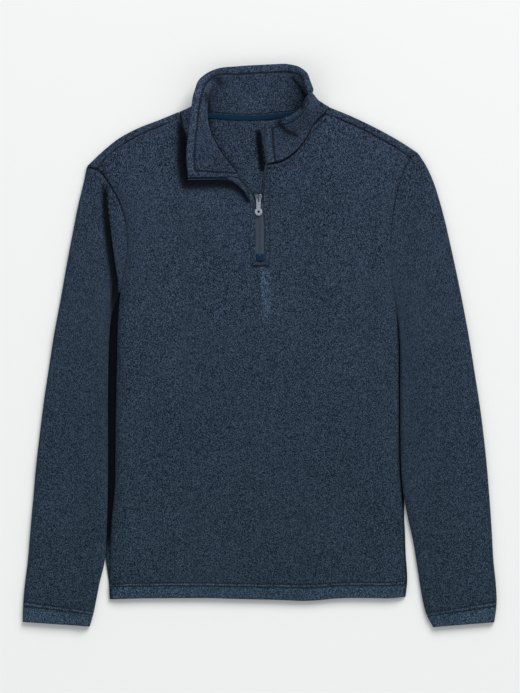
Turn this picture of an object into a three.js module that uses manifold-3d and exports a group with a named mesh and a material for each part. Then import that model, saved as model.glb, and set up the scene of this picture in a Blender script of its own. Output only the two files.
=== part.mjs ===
// A quarter zip sweater of knitted fleece, laid flat on its back with its collar open.
// Millimetres, +X to the right of the view, +Y towards the collar, +Z up from the surface it lies on.
// Right and left are the wearer's, so the right sleeve lies at -X.
import * as THREE from "three";
import Module from "manifold-3d";

const wasm = await Module();
wasm.setup();

// Driving sizes
const CLOTH = 2; // wall of the knit
const COLLAR_CLOTH = 2.4; // the collar is a little firmer
const SEAM_GAP = 0.35; // between two pieces that are sewn together
const BACK_Z = CLOTH / 2; // middle of the lower layer
const FRONT_Z = 6.6; // middle of the upper layer
const FOLD_RADIUS = (FRONT_Z - BACK_Z) / 2;
const HEM_DEPTH = 19; // turned hem of the body
const CUFF_START = 0.95; // the turned hem of a sleeve is past this share of its length
const HEM_FOLD = 0.8; // extra wall on the inner side of a turned hem
const SLOT_FOOT_Y = 123; // lower end of the zip opening
const ZIP_X = 0.75; // middle of the closed zip
const TAPE_WALL = 1;
const TAPE_Z = 4.6; // middle of the zip tapes, just under the front
const TAPE_UNDER = 5; // how far a tape reaches under the cloth
const TAPE_PROUD = 1.4; // how far an open tape stands out past the cloth's edge
const NECK_TAPE_WIDTH = 7.5;
const CLOSED_TAPE = [125, 150, 176, 205]; // levels of the zip tapes up to the slider
const OPEN_TAPE_Y = 217; // where the two tapes part
const LEFT_TAPE_TURN = { free: [10, 270.6], under: [17, 271.6] }; // from the front up onto the collar
const UNDERARM_SET_BACK = 1.7; // a sleeve's first ring stands off the body at the underarm
const SLIDER = { x: -1.2, y: 218, width: 10.4, length: 13.2, bottom: 5.5, top: 8 };
const BRIDGE = { width: 2.2, length: 6.8, inside: 4.4, roof: 10.1, top: 11.2 };
const PULL = { axisZ: 9.05, wall: 1.1, bar: 0.55, eyeHalf: 1.5, eyeEnd: 4.6, half: 3.1 };
const PULL_HEAD = { centre: 19.2, radius: 5.6, hole: 1.9 };
const END_TAB = { half: 5.6, foot: 125.6, head: 136, corner: 1.5, bottom: 5.4, top: 6.6 };

const COLOURS = { knit: 0x2a3746, tape: 0x1c3042, zip: 0x3c4650, metal: 0x8a929c };

const V = (x, y, z = 0) => new THREE.Vector3(x, y, z);

// Reads a table: the words name its columns, and each row becomes one object.
function table(columns, rows) {
  const names = columns.split(" ");
  return rows.map((row) => Object.fromEntries(names.map((name, i) => [name, row[i]])));
}

// The body's side edges, a row for each level. The back reaches further out than the front does.
const RIGHT_SIDE = table("y front back", [
  [-375, -221.5, -221.5],
  [-356, -222.2, -222.4],
  [-306, -221, -222.5],
  [-253, -218.5, -223],
  [-198, -213.4, -222],
  [-140, -213, -222.3],
  [-50, -211.5, -222.3],
  [9, -210, -220.8],
  [50, -209, -216.8],
  [70, -208, -209],
  [82.5, -205, -205],
]);
const LEFT_SIDE = table("y front back", [
  [-371, 215.8, 215.8],
  [-356, 218.3, 218.3],
  [-332, 217, 217],
  [-302, 216, 216],
  [-258, 214.2, 214.2],
  [-235, 212.6, 212.6],
  [-216, 209.6, 209.6],
  [-184, 207, 207],
  [-80, 206.3, 206.3],
  [9, 206.3, 206.3],
  [44, 203.5, 203.5],
]);

// The armhole seams, from the underarm to the shoulder. The last row is the forward shoulder seam.
const RIGHT_ARMHOLE = table("y front back", [
  [124, -197, -207.5],
  [155, -194.5, -211],
  [174.5, -196, -214.5],
  [189, -199, -218.5],
  [208.5, -205, -225],
  [223.5, -212.5, -231],
  [238.5, -221.5, -238],
  [251.5, -230, -244.5],
  [262, -241, -250],
]);
const LEFT_ARMHOLE = table("y front back", [
  [79.5, 197.5, 204.5],
  [112, 194.5, 206.5],
  [144.5, 193, 209],
  [177, 195, 212],
  [207, 199, 216],
  [232, 204.5, 221],
  [253, 211, 226],
  [268, 217, 230],
  [279, 222.5, 232],
]);

// The shoulders from the tip to the neck: the folded outline, and the seam that lies before it.
const RIGHT_SHOULDER = table("outlineX outlineY seamX seamY", [
  [-255.5, 265, -241, 262],
  [-237, 282.8, -229, 277.5],
  [-216, 301.2, -208, 294],
  [-194, 314.8, -186, 307.5],
  [-171, 325.6, -164, 318.5],
  [-146, 335, -141, 327.5],
  [-119.5, 346, -116.5, 334.5],
]);
const LEFT_SHOULDER = table("outlineX outlineY seamX seamY", [
  [235.5, 284, 222.5, 279],
  [213, 299, 204, 292],
  [191, 312, 184, 303.5],
  [168, 324, 162, 315],
  [146, 335, 140, 327],
  [124, 344.5, 119, 335.5],
  [104, 352.5, 97.5, 343.5],
]);

// The lower edge of the body, a row for each bend of its wave.
const HEM = table("x y", [
  [-221.5, -375],
  [-160, -373.3],
  [-85, -373],
  [-24, -374.5],
  [26, -375.7],
  [66, -377.2],
  [131, -372.8],
  [194, -373.3],
  [215.8, -371],
]);

// The two edges of the zip opening, from its foot to the neck seam.
const ZIP_OPENING = table("rightX rightY leftX leftY", [
  [-6, 125.5, 7.5, 125.5],
  [-6, 150, 7.5, 150],
  [-6, 176, 7.5, 176],
  [-6.8, 205, 6.6, 205],
  [-13, 223.5, 6.4, 226],
  [-25, 237, 7.6, 247],
  [-35, 248.5, 11, 268.5],
]);

// The sleeves, a row for each section from the armhole to the cuff.
const RIGHT_SLEEVE = table("down outerX outerY innerX innerY", [
  [0, -255.5, 265, -205, 82.5],
  [0.03, -258.9, 245, -213.8, 67.7],
  [0.07, -265.2, 218.1, -219.3, 47.7],
  [0.12, -272.4, 184.4, -222.4, 22.9],
  [0.2, -282.7, 130.5, -224, -17],
  [0.3, -295, 63.2, -224.6, -66.7],
  [0.4, -307, -4.2, -224.8, -116.5],
  [0.5, -317.3, -71.6, -224.4, -166.3],
  [0.6, -326, -138.9, -224.6, -216.1],
  [0.7, -333, -206.3, -225.8, -265.8],
  [0.8, -338.8, -273.6, -228.7, -315.6],
  [0.88, -344, -327.5, -237.6, -355.4],
  [0.95, -349.3, -374.7, -244.3, -390.3],
  [1, -350.3, -408.3, -251, -415.1],
]);
const LEFT_SLEEVE = table("down outerX outerY innerX innerY", [
  [0, 235.5, 284, 203.5, 44],
  [0.03, 247.9, 263.4, 206.6, 30.3],
  [0.07, 259.5, 235.7, 207.8, 11.9],
  [0.12, 270, 201, 208.4, -11.1],
  [0.2, 283, 145.6, 208.4, -48],
  [0.3, 297.8, 76.3, 208.5, -94],
  [0.4, 310.6, 7, 208.8, -140],
  [0.5, 322, -62.3, 209.8, -186],
  [0.6, 331.4, -131.6, 215, -232.1],
  [0.7, 338.4, -200.9, 225.4, -278.1],
  [0.8, 343.4, -270.2, 233, -324.1],
  [0.88, 347, -325.6, 238.7, -360.9],
  [0.95, 351, -374.1, 245.5, -393.2],
  [1, 347.4, -408.8, 256.8, -415.8],
]);

// Folds and ridges of the upper layer: a line, how far it reaches to each side, and its height.
const FOLDS = table("x0 y0 x1 y1 reach height", [
  [-226, 236, -224, 172, 8, -3],
  [-224, 172, -217, 84, 9, -3.2],
  [2.5, 112, 11, 36, 9, 1],
  [229, 183, 204, 92, 20, -1.6],
  [-180, 60, -120, 150, 30, -0.6],
  [-300, -40, -262, -78, 26, -0.8],
  [322, -40, 268, -96, 28, -0.8],
  [-330, -330, -262, -300, 22, -0.7],
  [338, -322, 262, -300, 22, -0.7],
]);

// The collar, a row for each section round the neck from the right front to the left front.
// base: its seam. roll: where it bends over or leans in. edge: its free edge. out: how far its
// foot stands inside the neck edge, up: how far above it.
const COLLAR = table("piece baseX baseY rollX rollY rollZ edgeX edgeY edgeZ out up", [
  ["right", -35, 248.5, -40, 249.5, 10.4, -105.5, 249, 15.5, 0.3, 2.6],
  ["right", -51, 255.5, -43, 262, 15, -107.5, 268, 19, 1, 1.6],
  ["right", -67.5, 265.5, -51, 274, 19, -107.8, 287, 22, 1.6, 0.8],
  ["right", -83.5, 278, -62, 290, 23, -106, 307, 26, 1.6, 0.8],
  ["right", -97, 291.5, -71, 308, 27, -104, 324, 29, 1.6, 0.8],
  ["right", -107.5, 306, -76, 326, 30, -101.5, 343, 32, 1.6, 0.8],
  ["right", -114, 321, -78, 344, 31, -99.5, 359, 34, 1.6, 0.8],
  ["right", -116.5, 334.5, -78, 357, 31, -98, 369, 35, 1.6, 0.6],
  ["back", -103, 345.5, -75.5, 376, 28, -92, 388, 34, 1.4, 0.3],
  ["back", -79, 345.5, -63, 386, 18, -79.5, 401, 29, 0.8, 0.2],
  ["back", -55.5, 343.5, -47, 386, 12, -61, 409.5, 22, 0.4, 0.2],
  ["back", -29, 342, -28, 379, 9, -31, 413, 17, 0.4, 0.2],
  ["back", -3, 342, -2, 377, 8, -2, 415, 15, 0.4, 0.2],
  ["back", 23, 344.5, 23, 380, 8, 23, 416, 16, 0.4, 0.2],
  ["back", 48, 347, 46, 382, 12, 42, 416, 20, 0.4, 0.2],
  ["back", 70, 350, 60, 385, 17, 59, 411, 28, 0.8, 0.2],
  ["back", 88, 351.8, 66, 381, 25, 71, 401, 35, 1.4, 0.3],
  ["left", 97.5, 343.5, 73, 366, 32, 79, 379, 42, 1.6, 0.6],
  ["left", 89, 336.5, 74.5, 354, 32, 76.5, 371, 44, 1.6, 0.8],
  ["left", 79, 326, 72, 343, 30, 68.5, 365.5, 45, 1.6, 0.8],
  ["left", 73.5, 314, 66, 336, 27, 63, 354, 44, 1.6, 0.8],
  ["left", 66, 301.5, 58, 327, 24, 57, 346, 43, 1.6, 0.8],
  ["left", 55.5, 288.5, 47, 315, 20, 45, 339, 41, 1.6, 0.8],
  ["left", 35, 274, 29, 305, 18, 27, 333, 39, 1.4, 0.8],
  ["left", 11, 268.5, 8.5, 298, 21, 7.5, 328.5, 37, 1.2, 0.8],
]);

// How far across each half of the body and along each shoulder the columns of points stand.
const SHOULDER_STEPS = [0, 0.02, 0.06, 0.2, 0.4, 0.6, 0.8, 1];
const COLLAR_STEPS = [0, 0.1, 0.24, 0.38, 0.5, 0.6, 0.74, 0.88, 1];
const FOLD_STEPS = [0, 0.25, 0.5, 0.75, 1];
const SLEEVE_STEPS = [
  0, 0.025, 0.06, 0.1, 0.15, 0.21, 0.28, 0.37, 0.46, 0.55, 0.64, 0.73, 0.81, 0.87, 0.92, 0.958, 1,
];

// The value of one column between the rows, on a smooth curve that never overshoots them.
function smooth(rows, by, column, at) {
  const order = rows[0][by] < rows[rows.length - 1][by] ? rows : [...rows].reverse();
  const slope = (i) => {
    const k = Math.min(Math.max(i, 0), order.length - 2);
    return (order[k + 1][column] - order[k][column]) / (order[k + 1][by] - order[k][by]);
  };
  const tangent = (i) => {
    const before = slope(i - 1);
    const after = slope(i);
    return before * after <= 0 ? 0 : (2 * before * after) / (before + after);
  };
  let i = order.findIndex((row) => row[by] > at) - 1;
  i = i < -1 ? order.length - 2 : Math.max(i, 0);
  const width = order[i + 1][by] - order[i][by];
  const t = Math.min(Math.max((at - order[i][by]) / width, 0), 1);
  const h = t * t * (3 - 2 * t);
  const ends = order[i][column] * (1 - h) + order[i + 1][column] * h;
  const bend = t * (1 - t) * ((1 - t) * tangent(i) - t * tangent(i + 1));
  return ends + bend * width;
}

// A smooth curve through points, by its length from 0 to 1.
function curve(points) {
  const path = new THREE.CatmullRomCurve3(points, false, "centripetal");
  path.arcLengthDivisions = 400;
  return (at) => path.getPointAt(at);
}

const mix = (a, b, t) => a.clone().lerp(b, t);
const range = (count, first = 0) => Array.from({ length: count }, (_, i) => i + first);

// Height of the upper layer's middle over a place.
function upperZ(x, y) {
  let z = FRONT_Z;
  for (const fold of FOLDS) {
    const along = V(fold.x1 - fold.x0, fold.y1 - fold.y0);
    const from = V(x - fold.x0, y - fold.y0);
    const t = Math.min(Math.max(from.dot(along) / along.lengthSq(), 0), 1);
    const distance = from.sub(along.multiplyScalar(t)).length() / fold.reach;
    if (distance < 1) z += fold.height * (1 - distance * distance) ** 2;
  }
  return Math.max(z, BACK_Z + CLOTH + SEAM_GAP);
}

// Cloth as a middle sheet of four-sided cells, which becomes a closed wall.
class Sheet {
  constructor() {
    this.points = [];
    this.above = [];
    this.below = [];
    this.cells = [];
  }

  // Adds one point and returns its number. above and below are the wall on each side of it.
  add(point, above = CLOTH / 2, below = above) {
    this.points.push(point);
    this.above.push(above);
    this.below.push(below);
    return this.points.length - 1;
  }

  // Joins rows of point numbers by cells. Each row runs to the right of the one before it.
  join(rows, flip = false) {
    for (const r of range(rows.length - 1)) {
      for (const i of range(rows[r].length - 1)) {
        const cell = [rows[r][i], rows[r][i + 1], rows[r + 1][i + 1], rows[r + 1][i]];
        this.cells.push(flip ? cell.reverse() : cell);
      }
    }
  }

  geometry() {
    const normals = this.points.map(() => V(0, 0, 0));
    const open = new Map();
    for (const cell of this.cells) {
      const [a, b, c, d] = cell.map((i) => this.points[i]);
      const normal = c.clone().sub(a).cross(d.clone().sub(b));
      cell.forEach((i) => normals[i].add(normal));
      cell.forEach((i, k) => {
        const j = cell[(k + 1) % 4];
        if (open.has(`${j},${i}`)) open.delete(`${j},${i}`);
        else open.set(`${i},${j}`, [i, j]);
      });
    }
    normals.forEach((normal) => normal.normalize());
    const count = this.points.length;
    const positions = [];
    const place = (i, height) => this.points[i].clone().addScaledVector(normals[i], height);
    this.above.forEach((height, i) => positions.push(...place(i, height)));
    this.below.forEach((depth, i) => positions.push(...place(i, -depth)));
    const faces = [];
    for (const [a, b, c, d] of this.cells) {
      faces.push(a, b, c, a, c, d);
      faces.push(a + count, c + count, b + count, a + count, d + count, c + count);
    }
    for (const [i, j] of open.values()) {
      faces.push(j, i, i + count, j, i + count, j + count);
    }
    const geometry = new THREE.BufferGeometry();
    geometry.setAttribute("position", new THREE.Float32BufferAttribute(positions, 3));
    geometry.setIndex(faces);
    return geometry;
  }
}

// The two sides of the body differ only in their tables.
const SIDES = {
  right: { side: RIGHT_SIDE, armhole: RIGHT_ARMHOLE, shoulder: RIGHT_SHOULDER, sleeve: RIGHT_SLEEVE },
  left: { side: LEFT_SIDE, armhole: LEFT_ARMHOLE, shoulder: LEFT_SHOULDER, sleeve: LEFT_SLEEVE },
};

// Points of the shoulder from the tip to the neck: outline, seam and the way between them.
function shoulderPoints(name) {
  const rows = SIDES[name].shoulder;
  const outline = curve(rows.map((row) => V(row.outlineX, row.outlineY)));
  const seam = curve(rows.map((row) => V(row.seamX, row.seamY)));
  return SHOULDER_STEPS.map((step) => {
    const [fold, sewn] = [outline(step), seam(step)];
    return { fold, sewn, inward: sewn.clone().sub(fold).normalize() };
  });
}

const neckOf = (piece) => COLLAR.filter((row) => row.piece === piece).map((row) => V(row.baseX, row.baseY));
const shoulders = { right: shoulderPoints("right"), left: shoulderPoints("left") };
const frontNeck = { right: neckOf("right").reverse(), left: neckOf("left") };
const backNeck = neckOf("back");

// A point of the cloth that folds over the shoulder: turn 0 is underneath, 1 is on top.
function overShoulder({ fold, inward }, turn) {
  const angle = Math.PI * turn;
  const inset = CLOTH / 2 + FOLD_RADIUS * (1 - Math.sin(angle));
  const point = fold.clone().addScaledVector(inward, inset);
  point.z = BACK_Z + FOLD_RADIUS * (1 - Math.cos(angle));
  return point;
}

// Levels of one half of the front at its side: hem, stitch line, side, armhole, shoulder seam.
const SIDE_ROWS = 9;
function sideLevels(name, column) {
  const { side, armhole } = SIDES[name];
  const hem = side[0].y;
  const underarm = side[side.length - 1].y;
  const band = hem + HEM_DEPTH;
  const levels = [hem, band, ...range(SIDE_ROWS, 1).map((i) => band + ((underarm - band) * i) / SIDE_ROWS)];
  const below = levels.map((y) => V(smooth(side, "y", column, y), y));
  return [...below, ...armhole.map((row) => V(row[column], row.y))];
}

// Levels of the front's middle, from the hem to the neck seam, which split at the zip opening.
function middleLevels(name) {
  const hem = smooth(HEM, "x", "y", ZIP_X);
  const band = hem + HEM_DEPTH;
  const shared = SIDE_ROWS + 2;
  const closed = range(shared, 1).map((i) => V(ZIP_X, band + ((SLOT_FOOT_Y - band) * i) / shared));
  const edge = ZIP_OPENING.map((row) => V(row[`${name}X`], row[`${name}Y`]));
  return [V(ZIP_X, hem), V(ZIP_X, band), ...closed, ...edge];
}
const SPLIT_ROW = SIDE_ROWS + 4;

// Half a wall on its inner side: thicker in the turned hem, but for the columns at a side edge.
const hemWall = (level, column) => CLOTH / 2 + (level < 2 && column > 2 ? HEM_FOLD : 0);

// Fills a panel between its four edges. Each edge bends only the points near it.
function fillPanel({ left, right, lower, upper }, across) {
  const last = left.length - 1;
  const levels = left.map((_, k) => (right[k].y - right[0].y) / (right[last].y - right[0].y));
  const row = (k, u) => {
    const drift = (left[k].x - left[last].x) * (1 - u) ** 4 + (right[k].x - right[last].x) * u ** 4;
    const place = mix(left[k], right[k], u);
    place.x = left[last].x * (1 - u) + right[last].x * u + drift;
    return place;
  };
  return left.map((_, k) =>
    across.map((u, j) => {
      const low = lower[j].clone().sub(row(0, u));
      const high = upper[j].clone().sub(row(last, u));
      return row(k, u).addScaledVector(low, (1 - levels[k]) ** 9).addScaledVector(high, levels[k] ** 4);
    }),
  );
}

// Columns of a panel: how far across each point of its upper edge stands.
function columns(upper) {
  const [first, last] = [upper[0].x, upper[upper.length - 1].x];
  return upper.map((point) => (point.x - first) / (last - first));
}

const hemPoint = (x) => V(x, smooth(HEM, "x", "y", x));

// The front's points on one side, from the side edge to the middle.
function frontHalf(name) {
  const left = sideLevels(name, "front");
  const right = middleLevels(name);
  const upper = [...shoulders[name].map((s) => s.sewn.clone()), ...frontNeck[name].slice(1)];
  upper[0] = left[left.length - 1].clone();
  const across = columns(upper);
  const lower = across.map((u) => hemPoint(left[0].x * (1 - u) + right[0].x * u));
  const grid = fillPanel({ left, right, lower, upper }, across);
  const underarm = SIDE_ROWS + 1;
  const curl = [1, 0.5, 0.12]; // how far the columns at the side edge drop to the lower layer
  const edgeDrop = FRONT_Z - (BACK_Z + CLOTH + SEAM_GAP);
  grid.forEach((row, k) =>
    row.forEach((point, j) => {
      const fade = Math.min(Math.max((underarm - k) / 2, 0), 1);
      const drop = (curl[j] ?? 0) * edgeDrop * fade;
      point.z = Math.max(upperZ(point.x, point.y) - drop, BACK_Z + CLOTH + SEAM_GAP);
    }),
  );
  return grid;
}
const fronts = { right: frontHalf("right"), left: frontHalf("left") };

function frontPanel() {
  const sheet = new Sheet();
  const number = (grid) =>
    grid.map((row, k) => row.map((point, j) => sheet.add(point, CLOTH / 2, hemWall(k, j))));
  const right = number(fronts.right);
  const left = number(fronts.left);
  // Below the opening both halves share the middle column.
  left.forEach((row, k) => {
    if (k < SPLIT_ROW) row[row.length - 1] = right[k][right[k].length - 1];
  });
  sheet.join(right);
  sheet.join(left.map((row) => [...row].reverse()));
  return sheet.geometry();
}

// The back's points at each level. Its shoulders and neck are its upper edge.
const backEdge = { right: sideLevels("right", "back"), left: sideLevels("left", "back") };
function backGrid() {
  const tips = (name) => shoulders[name].map((s) => overShoulder(s, 0).setZ(0));
  const upper = [...tips("right"), ...backNeck, ...tips("left").reverse()];
  const left = backEdge.right.map((p) => p.clone());
  const right = backEdge.left.map((p) => p.clone());
  left[left.length - 1] = upper[0].clone();
  right[right.length - 1] = upper[upper.length - 1].clone();
  const across = columns(upper);
  const lower = across.map((u) => hemPoint(left[0].x * (1 - u) + right[0].x * u));
  const grid = fillPanel({ left, right, lower, upper }, across);
  grid.forEach((row) => row.forEach((point) => (point.z = BACK_Z)));
  return grid;
}

// The cloth over one shoulder, a row for each step of the fold, then the row along the seam.
function shoulderWrap(name) {
  const rows = FOLD_STEPS.slice(1).map((turn) => shoulders[name].map((s) => overShoulder(s, turn)));
  const sewn = shoulders[name].map((s) => {
    const point = s.sewn.clone().addScaledVector(s.inward, -SEAM_GAP);
    point.z = FRONT_Z;
    return point;
  });
  return [...rows, sewn];
}

function backPanel() {
  const sheet = new Sheet();
  const grid = backGrid();
  const rows = grid.map((row, k) =>
    row.map((point, j) => sheet.add(point, hemWall(k, Math.min(j, row.length - 1 - j)), CLOTH / 2)),
  );
  sheet.join(rows);
  const top = rows[rows.length - 1];
  const count = SHOULDER_STEPS.length;
  const wraps = { right: top.slice(0, count), left: top.slice(-count) };
  for (const name of ["right", "left"]) {
    let wrap = shoulderWrap(name);
    if (name === "left") wrap = wrap.map((row) => [...row].reverse());
    sheet.join([wraps[name], ...wrap.map((row) => row.map((point) => sheet.add(point)))]);
  }
  return sheet.geometry();
}

// Where the points of a seam stand along it, from 0 to 1.
function shares(points) {
  let sum = 0;
  const sums = points.map((point, i) => (sum += i ? point.distanceTo(points[i - 1]) : 0));
  return sums.map((length) => length / sum);
}

// Moves a sleeve's first ring back from the armhole by the width of the seam, square to it. At the
// underarm it moves sideways.
function setBack([ring, next], seams, tip) {
  const sideways = V(Math.sign(ring[0].x) * UNDERARM_SET_BACK);
  const square = (from, to, i) => {
    const along = to.clone().sub(from).setZ(0).normalize();
    const away = V(-along.y, along.x);
    return away.dot(next[i].clone().sub(ring[i])) < 0 ? away.negate() : away;
  };
  const count = seams.top.length;
  const lower = count + FOLD_STEPS.length - 2;
  const upper = lower + seams.bottom.length;
  const ways = ring.map((_, i) => {
    if (i >= count - 1 && i <= lower) return sideways;
    if (i >= upper) return square(V(0, 0), tip.inward, i);
    const [first, last] = i < count ? [0, count - 1] : [lower, upper - 1];
    return square(ring[Math.max(i - 1, first)], ring[Math.min(i + 1, last)], i);
  });
  ways.forEach((away, i) => ring[i].addScaledVector(away, SEAM_GAP * 2));
}

// A sleeve as rings round a flat tube: the upper layer from the outer fold to the inner one, the
// inner fold, then the lower layer back and the outer fold. The first ring follows the armhole.
function sleeve(name) {
  const rows = SIDES[name].sleeve;
  const tip = shoulders[name][0];
  const underarm = SIDE_ROWS + 1;
  const armTop = fronts[name].slice(underarm).map((row) => row[0]);
  const armBottom = backEdge[name].slice(underarm, -1).map((point) => V(point.x, point.y, BACK_Z));
  const seams = {
    top: [overShoulder(tip, 1), ...armTop.reverse()],
    bottom: [overShoulder(tip, 0), ...armBottom.reverse()],
  };
  const inset = CLOTH / 2 + FOLD_RADIUS;
  const section = (down) => {
    const at = (column) => smooth(rows, "down", column, down);
    const outer = V(at("outerX"), at("outerY"));
    const inner = V(at("innerX"), at("innerY"));
    const over = inner.clone().sub(outer).normalize();
    outer.addScaledVector(over, inset);
    inner.addScaledVector(over, -inset);
    return { outer, inner, over };
  };
  const first = section(0);
  const layer = (seam, ends, down, height) => {
    const across = shares(seam);
    const fade = (1 - down) ** 7;
    return seam.map((point, i) => {
      const bend = V(point.x, point.y).sub(mix(first.outer, first.inner, across[i]));
      const place = mix(ends.outer, ends.inner, across[i]).addScaledVector(bend, fade);
      place.z = height(place, point);
      return place;
    });
  };
  const fold = (from, to, outwards) =>
    FOLD_STEPS.slice(1, -1).map((turn) => {
      const reach = (Math.abs(from.z - to.z) / 2) * Math.sin(Math.PI * turn);
      const point = mix(from, to, turn).addScaledVector(outwards, reach);
      point.z = from.z + ((to.z - from.z) * (1 - Math.cos(Math.PI * turn))) / 2;
      return point;
    });
  const rings = SLEEVE_STEPS.map((down) => {
    const ends = section(down);
    const near = Math.max(1 - down / SLEEVE_STEPS[2], 0);
    const top = layer(seams.top, ends, down, (place, point) =>
      upperZ(place.x, place.y) + (point.z - upperZ(point.x, point.y)) * near);
    const bottom = layer(seams.bottom, ends, down, () => BACK_Z);
    const fade = (1 - down) ** 7;
    const outwards = mix(ends.over.clone().negate(), tip.inward.clone().negate(), fade).normalize();
    const inwards = ends.over.clone().multiplyScalar(1 - fade);
    const innerFold = fold(top[top.length - 1], bottom[bottom.length - 1], inwards);
    const outerFold = fold(bottom[0], top[0], outwards);
    return [...top, ...innerFold, ...bottom.reverse(), ...outerFold];
  });
  setBack(rings, seams, tip);
  const sheet = new Sheet();
  const numbers = rings.map((ring, k) => {
    const inside = CLOTH / 2 + (SLEEVE_STEPS[k] > CUFF_START ? HEM_FOLD : 0);
    const row = ring.map((point) => sheet.add(point, CLOTH / 2, inside));
    return [...row, row[0]];
  });
  sheet.join(numbers, name === "right");
  return sheet.geometry();
}

// The neck edge of the body as one ring, from the right front round the back to the left front:
// each point, the cloth's outer side there, and its row of the collar's table where it has one.
function neckRing() {
  const rows = (piece) => COLLAR.filter((row) => row.piece === piece);
  const neckZ = (name) => {
    const row = fronts[name][fronts[name].length - 1];
    return (point) => row.find((p) => Math.hypot(p.x - point.x, p.y - point.y) < 0.01).z;
  };
  const front = (name) => {
    const height = neckZ(name);
    return rows(name).map((row) => {
      const point = V(row.baseX, row.baseY);
      point.z = height(point);
      return { point, outside: V(0, 0, 1), row };
    });
  };
  const back = rows("back").map((row) => (
    { point: V(row.baseX, row.baseY, BACK_Z), outside: V(0, 0, -1), row }
  ));
  const wrap = (name) => {
    const end = shoulders[name][SHOULDER_STEPS.length - 1];
    return FOLD_STEPS.map((turn) => {
      const angle = Math.PI * turn;
      const outside = end.inward.clone().multiplyScalar(-Math.sin(angle)).setZ(-Math.cos(angle));
      return { point: overShoulder(end, turn), outside };
    });
  };
  return [...front("right"), ...wrap("right").reverse(), ...back, ...wrap("left"), ...front("left")];
}

// The collar's sections, each a row of points from its seam to its free edge.
function collarSections() {
  const ring = neckRing();
  let length = 0;
  ring.forEach((station, i) => {
    if (i) length += station.point.distanceTo(ring[i - 1].point);
    station.length = length;
  });
  const known = ring.filter((station) => station.row);
  return ring.map((station, i) => {
    const after = known.find((other) => other.length >= station.length);
    const before = known[Math.max(known.indexOf(after) - 1, 0)];
    const span = after.length - before.length;
    const t = station.row ? 1 : (station.length - before.length) / span;
    const value = (name) => before.row[name] * (1 - t) + after.row[name] * t;
    const along = ring[Math.min(i + 1, ring.length - 1)].point.clone();
    along.sub(ring[Math.max(i - 1, 0)].point);
    const inside = along.cross(station.outside).normalize();
    const base = station.point.clone().addScaledVector(inside, value("out"));
    base.z += value("up");
    const roll = V(value("rollX"), value("rollY"), value("rollZ"));
    const edge = V(value("edgeX"), value("edgeY"), value("edgeZ"));
    return COLLAR_STEPS.map((step) => collarPoint(base, roll, edge, step));
  });
}

// A point of one section: a smooth curve from its seam over the roll to its free edge.
function collarPoint(base, roll, edge, step) {
  const lean = edge.clone().sub(base).multiplyScalar(0.5);
  const [from, to] = step <= 0.5 ? [base, roll] : [roll, edge];
  const t = step <= 0.5 ? step * 2 : step * 2 - 1;
  const free = to.clone().sub(from).multiplyScalar(1.5).addScaledVector(lean, -0.5);
  const [start, end] = step <= 0.5 ? [free, lean] : [lean, free];
  return from.clone().multiplyScalar(1 - t * t * (3 - 2 * t))
    .addScaledVector(to, t * t * (3 - 2 * t))
    .addScaledVector(start, t * (1 - t) ** 2)
    .addScaledVector(end, -t * t * (1 - t));
}
const sections = collarSections();

function collar() {
  const sheet = new Sheet();
  sheet.join(sections.map((row) => row.map((point) => sheet.add(point, COLLAR_CLOTH / 2))));
  return sheet.geometry();
}

// The tape along the inside of the back neck seam.
function neckTape() {
  const sheet = new Sheet();
  const height = BACK_Z + CLOTH / 2 + SEAM_GAP + TAPE_WALL / 2;
  const line = (drop) => backNeck.map((p) => sheet.add(V(p.x, p.y - drop, height), TAPE_WALL / 2));
  sheet.join([line(NECK_TAPE_WIDTH + 1), line(1)]);
  return sheet.geometry();
}

// One zip tape: its closed stretch, its stretch under the edge of the open front, and what follows.
function zipTape(name, after = []) {
  const sideways = name === "right" ? -1 : 1;
  const edge = (y) => V(smooth(ZIP_OPENING, `${name}Y`, `${name}X`, y), y, TAPE_Z);
  const closed = CLOSED_TAPE.map((y) => ({
    free: V(ZIP_X + sideways * 0.2, y, TAPE_Z),
    under: edge(y).add(V(sideways * TAPE_UNDER)),
  }));
  const top = ZIP_OPENING[ZIP_OPENING.length - 1][`${name}Y`];
  const open = range(5).map((i) => {
    const y = OPEN_TAPE_Y + ((top - 2 - OPEN_TAPE_Y) * i) / 4;
    const along = edge(y + 0.5).sub(edge(y - 0.5)).normalize();
    const cloth = V(-along.y * -sideways, along.x * -sideways);
    return {
      free: edge(y).addScaledVector(cloth, -TAPE_PROUD),
      under: edge(y).addScaledVector(cloth, TAPE_UNDER),
    };
  });
  return tapeOf([...closed, ...open, ...after]);
}

function tapeOf(rows) {
  const sheet = new Sheet();
  const numbers = rows.map(({ free, under }) =>
    [free, under].map((point) => sheet.add(point, TAPE_WALL / 2)));
  sheet.join(numbers);
  return sheet.geometry();
}

// The tape along an end of the collar, on its inner face. end and next are the last two sections
// there, and under is how far the tape reaches over the cloth.
function endTape(end, next, steps, under) {
  const distance = (COLLAR_CLOTH + TAPE_WALL) / 2 + SEAM_GAP * 2;
  return steps.map((step) => {
    const cloth = next[step].clone().sub(end[step]).normalize();
    const along = end[Math.min(step + 1, end.length - 1)].clone().sub(end[step - 1]);
    const inner = along.cross(cloth).normalize();
    const place = end[step].clone().addScaledVector(inner, distance);
    return {
      free: place.clone().addScaledVector(cloth, -TAPE_PROUD / 2),
      under: place.clone().addScaledVector(cloth, under),
    };
  });
}

function lapelTape() {
  const steps = range(COLLAR_STEPS.length - 5, 5);
  return tapeOf(endTape(sections[0], sections[1], steps, NECK_TAPE_WIDTH - 1));
}

function leftTape() {
  const end = sections[sections.length - 1];
  const next = sections[sections.length - 2];
  const turn = { free: V(...LEFT_TAPE_TURN.free, TAPE_Z), under: V(...LEFT_TAPE_TURN.under, TAPE_Z) };
  return zipTape("left", [turn, ...endTape(end, next, range(COLLAR_STEPS.length - 2, 2), TAPE_UNDER + 1)]);
}

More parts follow.
